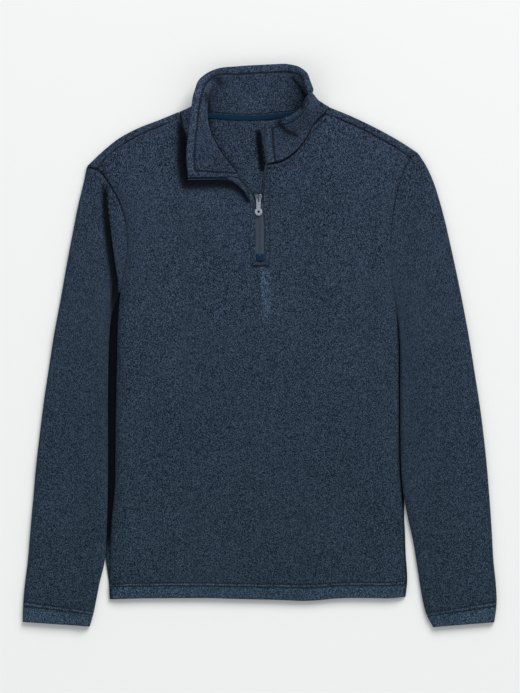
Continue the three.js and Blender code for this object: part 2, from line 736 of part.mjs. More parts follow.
// Booleans: a closed three.js geometry as a solid, and back.
function solid(geometry) {
  const merged = new Map();
  const position = geometry.getAttribute("position");
  const index = geometry.index ? [...geometry.index.array] : range(position.count);
  const points = [];
  const numbers = index.map((i) => {
    const place = V().fromBufferAttribute(position, i).toArray().map((n) => Math.round(n * 1e4) / 1e4);
    const key = place.join();
    if (!merged.has(key)) {
      merged.set(key, points.length / 3);
      points.push(...place);
    }
    return merged.get(key);
  });
  const vertProperties = new Float32Array(points);
  return new wasm.Manifold(new wasm.Mesh({ numProp: 3, vertProperties, triVerts: new Uint32Array(numbers) }));
}

function geometryOf(body) {
  const mesh = body.getMesh();
  const geometry = new THREE.BufferGeometry();
  geometry.setAttribute("position", new THREE.Float32BufferAttribute(mesh.vertProperties, 3));
  geometry.setIndex([...mesh.triVerts]);
  return geometry;
}

const box = (width, length, bottom, top) =>
  solid(new THREE.BoxGeometry(width, length, top - bottom).translate(0, 0, (top + bottom) / 2));

function plate(shape, bottom, top) {
  const options = { depth: top - bottom, bevelEnabled: false, curveSegments: 8 };
  return new THREE.ExtrudeGeometry(shape, options).translate(0, 0, bottom);
}

// The slider, about its own middle: a shield that is wide at the top, under a bridge for the pull.
function slider() {
  const [half, end] = [SLIDER.width / 2, SLIDER.length / 2];
  const [tail, flank, brow] = [half * 0.62, half * 0.72, half * 0.5];
  const shield = new THREE.Shape();
  shield.moveTo(-tail, -end);
  shield.lineTo(tail, -end);
  shield.bezierCurveTo(flank, -end * 0.2, half, 0, half, end * 0.45);
  shield.quadraticCurveTo(half, end, brow, end);
  shield.lineTo(0, end * 0.7);
  shield.lineTo(-brow, end);
  shield.quadraticCurveTo(-half, end, -half, end * 0.45);
  shield.bezierCurveTo(-half, 0, -flank, -end * 0.2, -tail, -end);
  const body = solid(plate(shield, SLIDER.bottom, SLIDER.top));
  const bridge = box(BRIDGE.width, BRIDGE.length, SLIDER.top - 0.5, BRIDGE.top);
  const way = box(BRIDGE.width * 2, BRIDGE.inside, SLIDER.top, BRIDGE.roof);
  return geometryOf(body.add(bridge.subtract(way)));
}

// The pull tab, about its hinge: two arms round the bridge, a narrow neck and a round head.
function pullTab() {
  const { bar, half, wall, eyeHalf, eyeEnd } = PULL;
  const { centre, radius, hole } = PULL_HEAD;
  const waist = Math.asin((half * 0.95) / radius);
  const outline = new THREE.Shape();
  outline.moveTo(half, bar);
  outline.lineTo(-half, bar);
  outline.lineTo(-half, -eyeEnd - 2);
  outline.lineTo(-half * 0.95, -centre + radius * Math.cos(waist));
  outline.absarc(0, -centre, radius, Math.PI / 2 + waist, Math.PI * 2.5 - waist, false);
  outline.lineTo(half, -eyeEnd - 2);
  const eye = new THREE.Path();
  eye.moveTo(-eyeHalf, -bar);
  eye.lineTo(-eyeHalf, -eyeEnd);
  eye.lineTo(eyeHalf, -eyeEnd);
  eye.lineTo(eyeHalf, -bar);
  const round = new THREE.Path();
  round.absarc(0, -centre, hole, 0, Math.PI * 2, true);
  outline.holes.push(eye, round);
  return plate(outline, -wall / 2, wall / 2);
}

// The tab that closes the lower end of the zip.
function endTab() {
  const { half, foot, head, corner } = END_TAB;
  const shape = new THREE.Shape();
  shape.moveTo(-half, head);
  shape.lineTo(-half, foot + corner);
  shape.quadraticCurveTo(-half, foot, -half + corner, foot);
  shape.lineTo(half - corner, foot);
  shape.quadraticCurveTo(half, foot, half, foot + corner);
  shape.lineTo(half, head);
  return plate(shape, END_TAB.bottom, END_TAB.top);
}

const FINISHES = {
  knit: { roughness: 0.95, metalness: 0 },
  tape: { roughness: 0.85, metalness: 0 },
  zip: { roughness: 0.7, metalness: 0 },
  metal: { roughness: 0.35, metalness: 0.9 },
};

function piece(name, finish, geometry, x = 0, y = 0, z = 0) {
  const material = new THREE.MeshStandardMaterial({ color: COLOURS[finish], ...FINISHES[finish] });
  const mesh = new THREE.Mesh(geometry, material);
  mesh.name = name;
  mesh.position.set(x, y, z);
  return mesh;
}

const sweater = new THREE.Group();
sweater.add(
  piece("back_panel", "knit", backPanel()),
  piece("front_panel", "knit", frontPanel()),
  piece("sleeve_right", "knit", sleeve("right")),
  piece("sleeve_left", "knit", sleeve("left")),
  piece("collar", "knit", collar()),
  piece("neck_tape", "tape", neckTape()),
  piece("zip_tape_right", "zip", zipTape("right")),
  piece("zip_tape_right_lapel", "tape", lapelTape()),
  piece("zip_tape_left", "zip", leftTape()),
  piece("zip_end_tab", "tape", endTab(), ZIP_X),
  piece("zip_slider", "metal", slider(), SLIDER.x, SLIDER.y),
  piece("zip_pull", "metal", pullTab(), SLIDER.x, SLIDER.y - 0.6, PULL.axisZ),
);

// The middle of the whole garment's outline is the origin.
const bounds = new THREE.Box3().setFromObject(sweater);
sweater.position.set(-(bounds.min.x + bounds.max.x) / 2, -(bounds.min.y + bounds.max.y) / 2, -bounds.min.z);

export default sweater;
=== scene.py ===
"""A quarter zip sweater of knitted fleece, laid flat on its back with its collar open.

The cloth follows the same named tables as the part's solids, on much finer grids, with the seams,
hems, stitches and soft creases that show. Tables are in millimetres in the part's own frame: +X to
the wearer's left, +Y towards the collar, +Z up from the surface. Meshes are in metres.
"""

import logging
import math
from dataclasses import dataclass, field
from enum import Enum
from typing import Dict, List, Optional, Sequence, Tuple

import bpy
import numpy as np
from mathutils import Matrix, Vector


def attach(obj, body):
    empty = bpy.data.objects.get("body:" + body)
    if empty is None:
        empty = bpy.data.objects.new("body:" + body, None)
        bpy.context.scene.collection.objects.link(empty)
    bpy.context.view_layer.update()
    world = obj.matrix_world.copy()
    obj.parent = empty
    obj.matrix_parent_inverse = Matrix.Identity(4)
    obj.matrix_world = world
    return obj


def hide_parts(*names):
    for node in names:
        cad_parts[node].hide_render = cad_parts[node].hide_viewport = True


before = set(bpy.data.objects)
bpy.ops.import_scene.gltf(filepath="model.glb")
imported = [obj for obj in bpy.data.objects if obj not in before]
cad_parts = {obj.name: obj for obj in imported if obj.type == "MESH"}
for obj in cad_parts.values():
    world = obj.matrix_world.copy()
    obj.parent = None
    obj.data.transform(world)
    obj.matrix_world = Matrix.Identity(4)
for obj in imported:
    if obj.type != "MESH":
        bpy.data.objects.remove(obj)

LOG = logging.getLogger("sweater")
Array = np.ndarray
Table = Dict[str, Array]
Triple = Tuple[float, float, float]
Colour = Triple
Material = bpy.types.Material
Object = bpy.types.Object
Socket = bpy.types.NodeSocket
TapeRows = List[Tuple[Array, Array]]
NeckPoint = Tuple[Array, Array, Optional[Dict[str, float]]]  # place, outer side, row of its table
MM = 0.001

CLOTH = 2.0  # wall of the knit
COLLAR_CLOTH = 2.4  # the collar is a little firmer
SEAM_GAP = 0.35  # between two pieces that are sewn together
BACK_Z = 1.0  # middle of the lower layer
FRONT_Z = 6.6  # middle of the upper layer
LOWEST_FRONT = BACK_Z + CLOTH + SEAM_GAP
FOLD_RADIUS = (FRONT_Z - BACK_Z) / 2
HEM_DEPTH = 19.0  # turned hem of the body
SLOT_FOOT_Y = 123.0  # lower end of the zip opening
ZIP_X = 0.75  # middle of the closed zip
TAPE_WALL = 1.0
TAPE_Z = 4.6  # middle of the zip tapes, just under the front
TAPE_UNDER = 5.0  # how far a tape reaches under the cloth
TAPE_PROUD = 1.4  # how far an open tape stands out past the cloth's edge
RIDGE = 1.2  # height of the ridge below the zip
SIDE_ROWS = 9  # levels of the side seam from the hem's band to the underarm
SPLIT_ROW = SIDE_ROWS + 4  # level where the front splits for the zip
ARM_ROW = SIDE_ROWS + 1  # level of the underarm
SKIN = CLOTH / 2 + 0.05  # from the middle of the cloth to a thread on top of it
SEAM_STITCH_IN = 2.6  # from a seam to the first row of stitches beside it


def table(columns: str, rows: Sequence[Sequence[float]]) -> Table:
    """Reads a table whose words name its columns."""
    data = np.array(rows, float)
    return {name: data[:, i] for i, name in enumerate(columns.split())}


RIGHT_SIDE = table("y front back", [
    (-375, -221.5, -221.5), (-356, -222.2, -222.4), (-306, -221, -222.5), (-253, -218.5, -223),
    (-198, -213.4, -222), (-140, -213, -222.3), (-50, -211.5, -222.3), (9, -210, -220.8),
    (50, -209, -216.8), (70, -208, -209), (82.5, -205, -205),
])
LEFT_SIDE = table("y front back", [
    (-371, 215.8, 215.8), (-356, 218.3, 218.3), (-332, 217, 217), (-302, 216, 216),
    (-258, 214.2, 214.2), (-235, 212.6, 212.6), (-216, 209.6, 209.6), (-184, 207, 207),
    (-80, 206.3, 206.3), (9, 206.3, 206.3), (44, 203.5, 203.5),
])
RIGHT_ARMHOLE = table("y front back", [
    (124, -197, -207.5), (155, -194.5, -211), (174.5, -196, -214.5), (189, -199, -218.5),
    (208.5, -205, -225), (223.5, -212.5, -231), (238.5, -221.5, -238), (251.5, -230, -244.5),
    (262, -241, -250),
])
LEFT_ARMHOLE = table("y front back", [
    (79.5, 197.5, 204.5), (112, 194.5, 206.5), (144.5, 193, 209), (177, 195, 212),
    (207, 199, 216), (232, 204.5, 221), (253, 211, 226), (268, 217, 230), (279, 222.5, 232),
])
RIGHT_SHOULDER = table("outlineX outlineY seamX seamY", [
    (-255.5, 265, -241, 262), (-237, 282.8, -229, 277.5), (-216, 301.2, -208, 294),
    (-194, 314.8, -186, 307.5), (-171, 325.6, -164, 318.5), (-146, 335, -141, 327.5),
    (-119.5, 346, -116.5, 334.5),
])
LEFT_SHOULDER = table("outlineX outlineY seamX seamY", [
    (235.5, 284, 222.5, 279), (213, 299, 204, 292), (191, 312, 184, 303.5), (168, 324, 162, 315),
    (146, 335, 140, 327), (124, 344.5, 119, 335.5), (104, 352.5, 97.5, 343.5),
])
HEM = table("x y", [
    (-221.5, -375), (-160, -373.3), (-85, -373), (-24, -374.5), (26, -375.7), (66, -377.2),
    (131, -372.8), (194, -373.3), (215.8, -371),
])
ZIP_OPENING = table("rightX rightY leftX leftY", [
    (-6, 125.5, 7.5, 125.5), (-6, 150, 7.5, 150), (-6, 176, 7.5, 176), (-6.8, 205, 6.6, 205),
    (-13, 223.5, 6.4, 226), (-25, 237, 7.6, 247), (-35, 248.5, 11, 268.5),
])
RIGHT_SLEEVE = table("down outerX outerY innerX innerY", [
    (0, -255.5, 265, -205, 82.5), (0.03, -258.9, 245, -213.8, 67.7),
    (0.07, -265.2, 218.1, -219.3, 47.7), (0.12, -272.4, 184.4, -222.4, 22.9),
    (0.2, -282.7, 130.5, -224, -17), (0.3, -295, 63.2, -224.6, -66.7),
    (0.4, -307, -4.2, -224.8, -116.5), (0.5, -317.3, -71.6, -224.4, -166.3),
    (0.6, -326, -138.9, -224.6, -216.1), (0.7, -333, -206.3, -225.8, -265.8),
    (0.8, -338.8, -273.6, -228.7, -315.6), (0.88, -344, -327.5, -237.6, -355.4),
    (0.95, -349.3, -374.7, -244.3, -390.3), (1, -350.3, -408.3, -251, -415.1),
])
LEFT_SLEEVE = table("down outerX outerY innerX innerY", [
    (0, 235.5, 284, 203.5, 44), (0.03, 247.9, 263.4, 206.6, 30.3),
    (0.07, 259.5, 235.7, 207.8, 11.9), (0.12, 270, 201, 208.4, -11.1),
    (0.2, 283, 145.6, 208.4, -48), (0.3, 297.8, 76.3, 208.5, -94),
    (0.4, 310.6, 7, 208.8, -140), (0.5, 322, -62.3, 209.8, -186),
    (0.6, 331.4, -131.6, 215, -232.1), (0.7, 338.4, -200.9, 225.4, -278.1),
    (0.8, 343.4, -270.2, 233, -324.1), (0.88, 347, -325.6, 238.7, -360.9),
    (0.95, 351, -374.1, 245.5, -393.2), (1, 347.4, -408.8, 256.8, -415.8),
])
FOLDS = table("x0 y0 x1 y1 reach height", [
    (-226, 236, -224, 172, 8, -3), (-224, 172, -217, 84, 9, -3.2), (2.5, 112, 11, 36, 9, 1),
    (229, 183, 204, 92, 20, -1.6), (-180, 60, -120, 150, 30, -0.6),
    (-300, -40, -262, -78, 26, -0.8), (322, -40, 268, -96, 28, -0.8),
    (-330, -330, -262, -300, 22, -0.7), (338, -322, 262, -300, 22, -0.7),
])
COLLAR_COLUMNS = "baseX baseY rollX rollY rollZ edgeX edgeY edgeZ out up"
RIGHT_COLLAR = table(COLLAR_COLUMNS, [
    (-35, 248.5, -40, 249.5, 10.4, -105.5, 249, 15.5, 0.3, 2.6),
    (-51, 255.5, -43, 262, 15, -107.5, 268, 19, 1, 1.6),
    (-67.5, 265.5, -51, 274, 19, -107.8, 287, 22, 1.6, 0.8),
    (-83.5, 278, -62, 290, 23, -106, 307, 26, 1.6, 0.8),
    (-97, 291.5, -71, 308, 27, -104, 324, 29, 1.6, 0.8),
    (-107.5, 306, -76, 326, 30, -101.5, 343, 32, 1.6, 0.8),
    (-114, 321, -78, 344, 31, -99.5, 359, 34, 1.6, 0.8),
    (-116.5, 334.5, -78, 357, 31, -98, 369, 35, 1.6, 0.6),
])
BACK_COLLAR = table(COLLAR_COLUMNS, [
    (-103, 345.5, -75.5, 376, 28, -92, 388, 34, 1.4, 0.3),
    (-79, 345.5, -63, 386, 18, -79.5, 401, 29, 0.8, 0.2),
    (-55.5, 343.5, -47, 386, 12, -61, 409.5, 22, 0.4, 0.2),
    (-29, 342, -28, 379, 9, -31, 413, 17, 0.4, 0.2),
    (-3, 342, -2, 377, 8, -2, 415, 15, 0.4, 0.2),
    (23, 344.5, 23, 380, 8, 23, 416, 16, 0.4, 0.2),
    (48, 347, 46, 382, 12, 42, 416, 20, 0.4, 0.2),
    (70, 350, 60, 385, 17, 59, 411, 28, 0.8, 0.2),
    (88, 351.8, 66, 381, 25, 71, 401, 35, 1.4, 0.3),
])
LEFT_COLLAR = table(COLLAR_COLUMNS, [
    (97.5, 343.5, 73, 366, 32, 79, 379, 42, 1.6, 0.6),
    (89, 336.5, 74.5, 354, 32, 76.5, 371, 44, 1.6, 0.8),
    (79, 326, 72, 343, 30, 68.5, 365.5, 45, 1.6, 0.8),
    (73.5, 314, 66, 336, 27, 63, 354, 44, 1.6, 0.8),
    (66, 301.5, 58, 327, 24, 57, 346, 43, 1.6, 0.8),
    (55.5, 288.5, 47, 315, 20, 45, 339, 41, 1.6, 0.8),
    (35, 274, 29, 305, 18, 27, 333, 39, 1.4, 0.8),
    (11, 268.5, 8.5, 298, 21, 7.5, 328.5, 37, 1.2, 0.8),
])
SHOULDER_STEPS = np.array([0, 0.02, 0.06, 0.2, 0.4, 0.6, 0.8, 1])
COLLAR_STEPS = np.array([0, 0.1, 0.24, 0.38, 0.5, 0.6, 0.74, 0.88, 1])
FLARE_PLACE = np.array([87.0, 363.0])
FLARE = np.array([6.0, 6.5, 0.0])
FLARE_STEPS = np.array([0, 0.45, 0.95, 1, 0.9, 0.65, 0.3, 0.05, 0])
FOLD_STEPS = np.array([0, 0.25, 0.5, 0.75, 1])
SLEEVE_STEPS = np.array([
    0, 0.025, 0.06, 0.1, 0.15, 0.21, 0.28, 0.37, 0.46, 0.55, 0.64, 0.73, 0.81, 0.87, 0.92, 0.958, 1,
])


class Side(Enum):
    """The wearer's right and left. The right side lies at -X."""

    RIGHT = -1
    LEFT = 1


@dataclass(frozen=True)
class SideTables:
    """The tables that one side of the body is cut from."""

    side: Table
    armhole: Table
    shoulder: Table
    sleeve: Table
    collar: Table


@dataclass(frozen=True)
class Crease:
    """A crease of the collar: its line seen from above, how deep it is, which also sets its painted shade,
    and how far it reaches.
    """

    line: Tuple[Tuple[float, float], ...]
    depth: float
    reach: float


@dataclass(frozen=True)
class StitchRow:
    """A row of stitches in the front: its line, how deep and wide its groove is, and how dark its painted
    shade is and how far that reaches.
    """

    line: Array
    depth: float
    reach: float
    tone: float
    tone_reach: float


# Painted shadow of the lapel, cast on the front along this line.
LAPEL_SHADE = np.array([
    (-17.0, 214.0), (-25.0, 227.0), (-38.0, 238.0), (-60.0, 241.0), (-108.0, 239.0), (-114.5, 262.0),
    (-113.5, 325.0),
])
# Painted shade on the back's inside, along the roll of the folded collar.
ROLL_SHADE = np.array([
    (-77.0, 372.0), (-75.0, 316.0), (-67.0, 298.0), (-52.0, 277.0), (-40.0, 264.0), (-33.0, 247.0),
    (-12.0, 222.0),
])
# Painted shade on the back's inside, beside the standing collar's end.
COLLAR_SHADE = np.array([(-1.5, 315.0), (0.5, 290.0), (3.5, 262.0)])
# Creases of the collar, each pressed in and painted with shade.
COLLAR_CREASES = (
    Crease(((49.6, 396.3), (60.0, 383.0), (68.0, 366.7), (61.4, 350.4)), 0.85, 2.6),
    Crease(((28.0, 329.0), (38.0, 318.0), (54.0, 311.0)), 0.75, 3.6),
    Crease(((-79.0, 371.0), (-73.0, 346.0)), 0.75, 2.4),
    Crease(((-64.0, 393.4), (-58.0, 390.0)), 0.55, 7.0),
)
ROLLED_EDGE = np.array([(-10.5, 217.0), (-18.0, 229.4), (-31.0, 242.4), (-45.0, 249.5)])
ZIP_LINE = np.array([(ZIP_X, 112.0), (ZIP_X, 205.0), (-12.0, 224.0), (-34.0, 247.0)])
ROUND_ZIP = np.array([
    (-27.5, 246.5), (-20.0, 236.5), (-15.5, 223.5), (-14.0, 205.0), (-13.6, 150.0), (-12.6, 119.6),
    (ZIP_X, 118.2), (14.1, 119.6), (15.1, 150.0), (14.6, 205.0), (14.2, 226.0), (15.6, 247.0),
    (18.6, 264.0),
])
UNDER_ZIP = np.array([(-12.6, 117.8), (14.1, 117.8)])
ZIP_STITCHES = (StitchRow(ROUND_ZIP, 0.8, 1.1, 0.35, 1.1), StitchRow(UNDER_ZIP, 1.2, 1.2, 1.0, 1.3))

CUT = {
    Side.RIGHT: SideTables(RIGHT_SIDE, RIGHT_ARMHOLE, RIGHT_SHOULDER, RIGHT_SLEEVE, RIGHT_COLLAR),
    Side.LEFT: SideTables(LEFT_SIDE, LEFT_ARMHOLE, LEFT_SHOULDER, LEFT_SLEEVE, LEFT_COLLAR),
}
ARM_SEAM = {Side.RIGHT: 1.0, Side.LEFT: 0.35}  # how deep each armhole's seam is


def vec(x: float, y: float, z: float = 0.0) -> Array:
    """One point."""
    return np.array([x, y, z], float)


def unit(v: Array) -> Array:
    """Vectors of length one, along the last axis."""
    return v / np.maximum(np.linalg.norm(v, axis=-1, keepdims=True), 1e-9)


def on_floor(x: Array, y: Array) -> Array:
    """A line of points at height 0."""
    return np.column_stack([x, y, np.zeros(len(x))])


def turned(grid: Array) -> Array:
    """A grid of points with its rows and columns changed over."""
    return grid.transpose(1, 0, 2)


def pairs(across: Array, down: Array) -> Array:
    """Places in the flat cloth, from how far each point is across it and down it."""
    return np.stack(np.broadcast_arrays(across, down), -1)


def hump(distance: Array, reach: float, power: float = 2) -> Array:
    """A soft rise: 1 where the distance is 0, nearly gone past the reach, square if the power is high."""
    return np.exp(-((distance / reach) ** power))


def grow(value: Array, span: float, least: float = 0.0) -> Array:
    """A share that grows to 1 as a value goes from 0 to a span."""
    return np.clip(value / span, least, 1)


@dataclass(frozen=True)
class Ripple:
    """Gentle unevenness of the cloth, from a few crossing waves of about one size."""

    height: float
    size: float
    seed: int
    waves: int = 7

    def at(self, x: Array, y: Array) -> Array:
        """Its height at each point.

        Args:
            x: Across.
            y: Along.

        Returns:
            The heights, mostly between the ripple's own height and as much below 0.
        """
        rng = np.random.default_rng(self.seed)
        total = np.zeros_like(x)
        for _ in range(self.waves):
            angle, phase = rng.uniform(0, 2 * math.pi, 2)
            rate = 2 * math.pi / (self.size * rng.uniform(0.7, 1.5))
            total += np.sin((x * math.cos(angle) + y * math.sin(angle)) * rate + phase)
        return self.height * (total / math.sqrt(self.waves * 2))


def smooth(rows: Table, by: str, column: str, at: Array) -> Array:
    """Values of a column between the rows, on a curve that never overshoots them.

    Args:
        rows: The table, which rises along ``by``.
        by: The column that says where each row stands.
        column: The column that is read.
        at: Where it is read.

    Returns:
        The values, one for each place in ``at``.
    """
    x, y = rows[by], rows[column]
    slopes = np.diff(y) / np.diff(x)
    before = np.concatenate([slopes[:1], slopes])
    after = np.concatenate([slopes, slopes[-1:]])
    product = before * after
    total = np.where(product > 0, before + after, 1.0)
    tangent = np.where(product > 0, 2 * product / total, 0.0)
    place = np.clip(np.asarray(at, float), x[0], x[-1])
    i = np.clip(np.searchsorted(x, place, side="right") - 1, 0, len(x) - 2)
    width = x[i + 1] - x[i]
    t = (place - x[i]) / width
    h = t * t * (3 - 2 * t)
    bend = t * (1 - t) * ((1 - t) * tangent[i] - t * tangent[i + 1])
    return y[i] * (1 - h) + y[i + 1] * h + bend * width


def along(points: Array, shares: Array) -> Array:
    """Points at shares of the length of a centripetal curve through points.

    Args:
        points: What the curve goes through.
        shares: Shares of its length, from 0 to 1.

    Returns:
        One point for each share.
    """
    p = np.asarray(points, float)
    padded = np.vstack([2 * p[0] - p[1], p, 2 * p[-1] - p[-2]])
    t = np.linspace(0, 1, 60)[:, None]
    parts = []
    for i in range(len(p) - 1):
        p0, p1, p2, p3 = padded[i:i + 4]
        steps = ((p0, p1), (p1, p2), (p2, p3))
        d0, d1, d2 = (max(float(((b - a) ** 2).sum()) ** 0.25, 1e-4) for a, b in steps)
        m1 = ((p1 - p0) / d0 - (p2 - p0) / (d0 + d1) + (p2 - p1) / d1) * d1
        m2 = ((p2 - p1) / d1 - (p3 - p1) / (d1 + d2) + (p3 - p2) / d2) * d1
        ends = (2 * t ** 3 - 3 * t * t + 1) * p1 + (3 * t * t - 2 * t ** 3) * p2
        parts.append(ends + (t ** 3 - 2 * t * t + t) * m1 + (t ** 3 - t * t) * m2)
    dense = np.vstack(parts)
    length = lengths(dense)
    length /= length[-1]
    return np.column_stack([np.interp(shares, length, dense[:, k]) for k in range(3)])


def lengths(points: Array) -> Array:
    """How far along a line of points each of them stands."""
    steps = np.linalg.norm(np.diff(points, axis=0), axis=-1)
    return np.concatenate([[0.0], np.cumsum(steps)])


def up_rows(grid: Array) -> Array:
    """How far along its row each point of a grid stands."""
    steps = np.linalg.norm(np.diff(grid, axis=1), axis=-1).cumsum(axis=1)
    return np.concatenate([np.zeros((len(grid), 1)), steps], axis=1)


def mean_knots(grid: Array) -> Array:
    """Where the rows of a grid stand, by their mean distance from each other."""
    steps = np.linalg.norm(np.diff(grid, axis=0), axis=-1).mean(axis=1)
    return np.concatenate([[0.0], np.cumsum(steps)])


def cubic(values: Array, knots: Array, at: Array) -> Array:
    """Smooth values between knots along the first axis.

    Args:
        values: The values at the knots.
        knots: Where they stand.
        at: Where new values are wanted.

    Returns:
        The new values, one for each place in ``at``.
    """
    step = np.diff(knots)
    shape = (-1,) + (1,) * (values.ndim - 1)
    slope = np.diff(values, axis=0) / step.reshape(shape)
    before, after = step[:-1].reshape(shape), step[1:].reshape(shape)
    middle = (slope[:-1] * after + slope[1:] * before) / (before + after)
    tangent = np.concatenate([slope[:1], middle, slope[-1:]])
    i = np.clip(np.searchsorted(knots, at, side="right") - 1, 0, len(knots) - 2)
    width = step[i].reshape(shape)
    t = ((at - knots[i]) / step[i]).reshape(shape)
    ends = values[i] * (2 * t ** 3 - 3 * t * t + 1) + values[i + 1] * (3 * t * t - 2 * t ** 3)
    bends = tangent[i] * (t ** 3 - 2 * t * t + t) + tangent[i + 1] * (t ** 3 - t * t)
    return ends + bends * width


def line_at(values: Array, knots: Array, at: float) -> Array:
    """One line of a grid, between its rows."""
    return cubic(values, knots, np.array([at]))[0]


def refine(coarse: Array, row_knots: Array, rows: Array, column_knots: Array, columns: Array) -> Array:
    """A fine grid of points through a coarse one, whose rows and columns stand at the knots."""
    grid = cubic(coarse, row_knots, rows)
    return turned(cubic(turned(grid), column_knots, columns))


def spaced(total: float, usual: float, fine: Sequence[Triple] = ()) -> Array:
    """Places from 0 to total, at a usual spacing and finer within some stretches.

    Args:
        total: The last place.
        usual: The spacing outside the stretches.
        fine: Stretches as (start, end, spacing).

    Returns:
        The places in order.
    """
    edges = sorted({0.0, total, *(min(max(e, 0.0), total) for s in fine for e in s[:2])})
    places = [0.0]
    for a, b in zip(edges, edges[1:]):
        steps = [s[2] for s in fine if s[0] - 1e-6 <= a and b <= s[1] + 1e-6]
        count = max(1, math.ceil((b - a) / min(steps + [usual]) - 1e-6))
        places += list(a + (b - a) * np.arange(1, count + 1) / count)
    return np.array(places)


def line_distance(points: Array, line: Array) -> Array:
    """How far points are from a line, seen from above.

    Args:
        points: The points, in any number of rows.
        line: The line's own points.

    Returns:
        The distances, in the same rows.
    """
    flat = points[..., :2].reshape(-1, 2)
    best = np.full(len(flat), 1e9)
    for a, b in zip(line[:, :2], line[1:, :2]):
        way = b - a
        size = float(way @ way) + 1e-12
        t = np.clip((flat - a) @ way / size, 0, 1)
        best = np.minimum(best, np.linalg.norm(flat - a - t[:, None] * way, axis=1))
    return best.reshape(points.shape[:-1])


def dip(distance: Array, depth: float, reach: float) -> Array:
    """A soft groove of a given depth."""
    return -depth * hump(distance, reach)


def add_painted_shade(hollow: Array, more: Array) -> Array:
    """Adds the painted shade of seams or creases, and leaves the painted highlights of raised places
    elsewhere.
    """
    return np.where(more > 0.05, np.maximum(hollow, more), hollow)


def upper_z(x: Array, y: Array) -> Array:
    """Height of the upper layer's middle, with its folds.

    Args:
        x: Across.
        y: Along.

    Returns:
        The height at each point.
    """
    z = np.full(np.shape(x), FRONT_Z)
    for x0, y0, x1, y1, reach, height in zip(*FOLDS.values()):
        dx, dy = x1 - x0, y1 - y0
        t = np.clip(((x - x0) * dx + (y - y0) * dy) / (dx * dx + dy * dy), 0, 1)
        distance = np.hypot(x - x0 - t * dx, y - y0 - t * dy) / reach
        z = z + np.where(distance < 1, height * (1 - np.minimum(distance, 1) ** 2) ** 2, 0)
    return np.maximum(z, LOWEST_FRONT)


@dataclass
class Sheet:
    """Cloth as a middle sheet of four-sided cells, which becomes a closed wall."""

    points: List[Array] = field(default_factory=list)
    wall: List[Array] = field(default_factory=list)
    weave: List[Array] = field(default_factory=list)
    hollow: List[Array] = field(default_factory=list)
    cells: List[Array] = field(default_factory=list)
    count: int = 0

    def add(self, grid: Array, weave: Array, wall: Array, hollow: Array = 0.0) -> Array:
        """Adds a grid of points.

        Args:
            grid: The points, row by row.
            weave: Where each point lies in the flat cloth, across and along it.
            wall: Half the cloth's wall, for each point or for all.
            hollow: Painted shade, up to 1 in seams, creases and under other parts, down to -1 for a painted
                highlight on raised ridges.

        Returns:
            The numbers of the points, in a grid.
        """
        shape = grid.shape[:2]
        self.points.append(grid.reshape(-1, 3))
        self.weave.append(weave.reshape(-1, 2))
        self.wall.append(np.broadcast_to(wall, shape).reshape(-1))
        self.hollow.append(np.broadcast_to(hollow, shape).reshape(-1))
        numbers = np.arange(self.count, self.count + shape[0] * shape[1]).reshape(shape)
        self.count += numbers.size
        return numbers

    def join(self, numbers: Array, flip: bool = False) -> None:
        """Joins a grid of points by cells.

        Args:
            numbers: The points' numbers. Each row runs to the right of the one before it.
            flip: Turns the cells to face the other way.
        """
        a, b = numbers[:-1, :-1], numbers[:-1, 1:]
        d, c = numbers[1:, :-1], numbers[1:, 1:]
        cells = np.stack([a, b, c, d], axis=-1).reshape(-1, 4)
        self.cells.append(cells[:, ::-1] if flip else cells)

    def mesh(self, name: str) -> Object:
        """Makes the closed wall.

        Args:
            name: The piece's name.

        Returns:
            The wall as an object in metres.
        """
        points, weave = np.concatenate(self.points), np.concatenate(self.weave)
        cells = np.concatenate(self.cells)
        normals = cell_normals(points, cells)
        wall = np.concatenate(self.wall)[:, None]
        top, bottom = points + normals * wall, points - normals * wall
        n = len(points)
        edges = np.stack([cells, np.roll(cells, -1, axis=1)], axis=-1).reshape(-1, 2)
        code = edges[:, 0].astype(np.int64) * n + edges[:, 1]
        back = edges[:, 1].astype(np.int64) * n + edges[:, 0]
        rim = edges[~np.isin(code, back)]
        walls = np.column_stack([rim[:, 1], rim[:, 0], rim[:, 0] + n, rim[:, 1] + n])
        faces = np.concatenate([cells, cells[:, ::-1] + n, walls])
        obj = build_mesh(name, np.concatenate([top, bottom]), faces, np.concatenate([weave, weave]))
        painted_shading = np.clip(np.concatenate(self.hollow * 2), -1, 1).astype(np.float32)
        obj.data.attributes.new("hollow", "FLOAT", "POINT").data.foreach_set("value", painted_shading)
        return obj


def cell_normals(points: Array, cells: Array) -> Array:
    """The direction that the cloth faces at each point.

    Args:
        points: The points of the sheet.
        cells: The four point numbers of each cell.

    Returns:
        One vector of length one for each point.
    """
    a, b, c, d = (points[cells[:, k]] for k in range(4))
    facing = np.cross(c - a, d - b)
    normals = np.zeros_like(points)
    for k in range(4):
        np.add.at(normals, cells[:, k], facing)
    return unit(normals)


def grid_normals(grid: Array) -> Array:
    """The direction that a grid of points faces at each of them."""
    down, across = np.gradient(grid, axis=0), np.gradient(grid, axis=1)
    return unit(np.cross(across, down))


def new_object(name: str, data: bpy.types.ID) -> Object:
    """Puts a mesh, light or camera in the scene.

    Args:
        name: The object's name.
        data: What the object shows.

    Returns:
        The new object, at the origin.
    """
    obj = bpy.data.objects.new(name, data)
    bpy.context.scene.collection.objects.link(obj)
    return obj


def build_mesh(name: str, points: Array, faces: Array, weave: Array) -> Object:
    """Makes a smooth mesh object of four-sided faces, in metres.

    Args:
        name: The piece's name.
        points: Its points in millimetres.
        faces: The four point numbers of each face.
        weave: Where each point lies in the flat cloth, in millimetres.

    Returns:
        The object.
    """
    data = bpy.data.meshes.new(name)
    data.from_pydata((points * MM).tolist(), [], faces.tolist())
    layer = data.uv_layers.new(name="weave")
    corners = np.zeros(len(data.loops), np.int32)
    data.loops.foreach_get("vertex_index", corners)
    layer.data.foreach_set("uv", (weave[corners] * MM).astype(np.float32).ravel())
    data.polygons.foreach_set("use_smooth", np.ones(len(data.polygons), bool))
    data.update()
    return new_object(name, data)


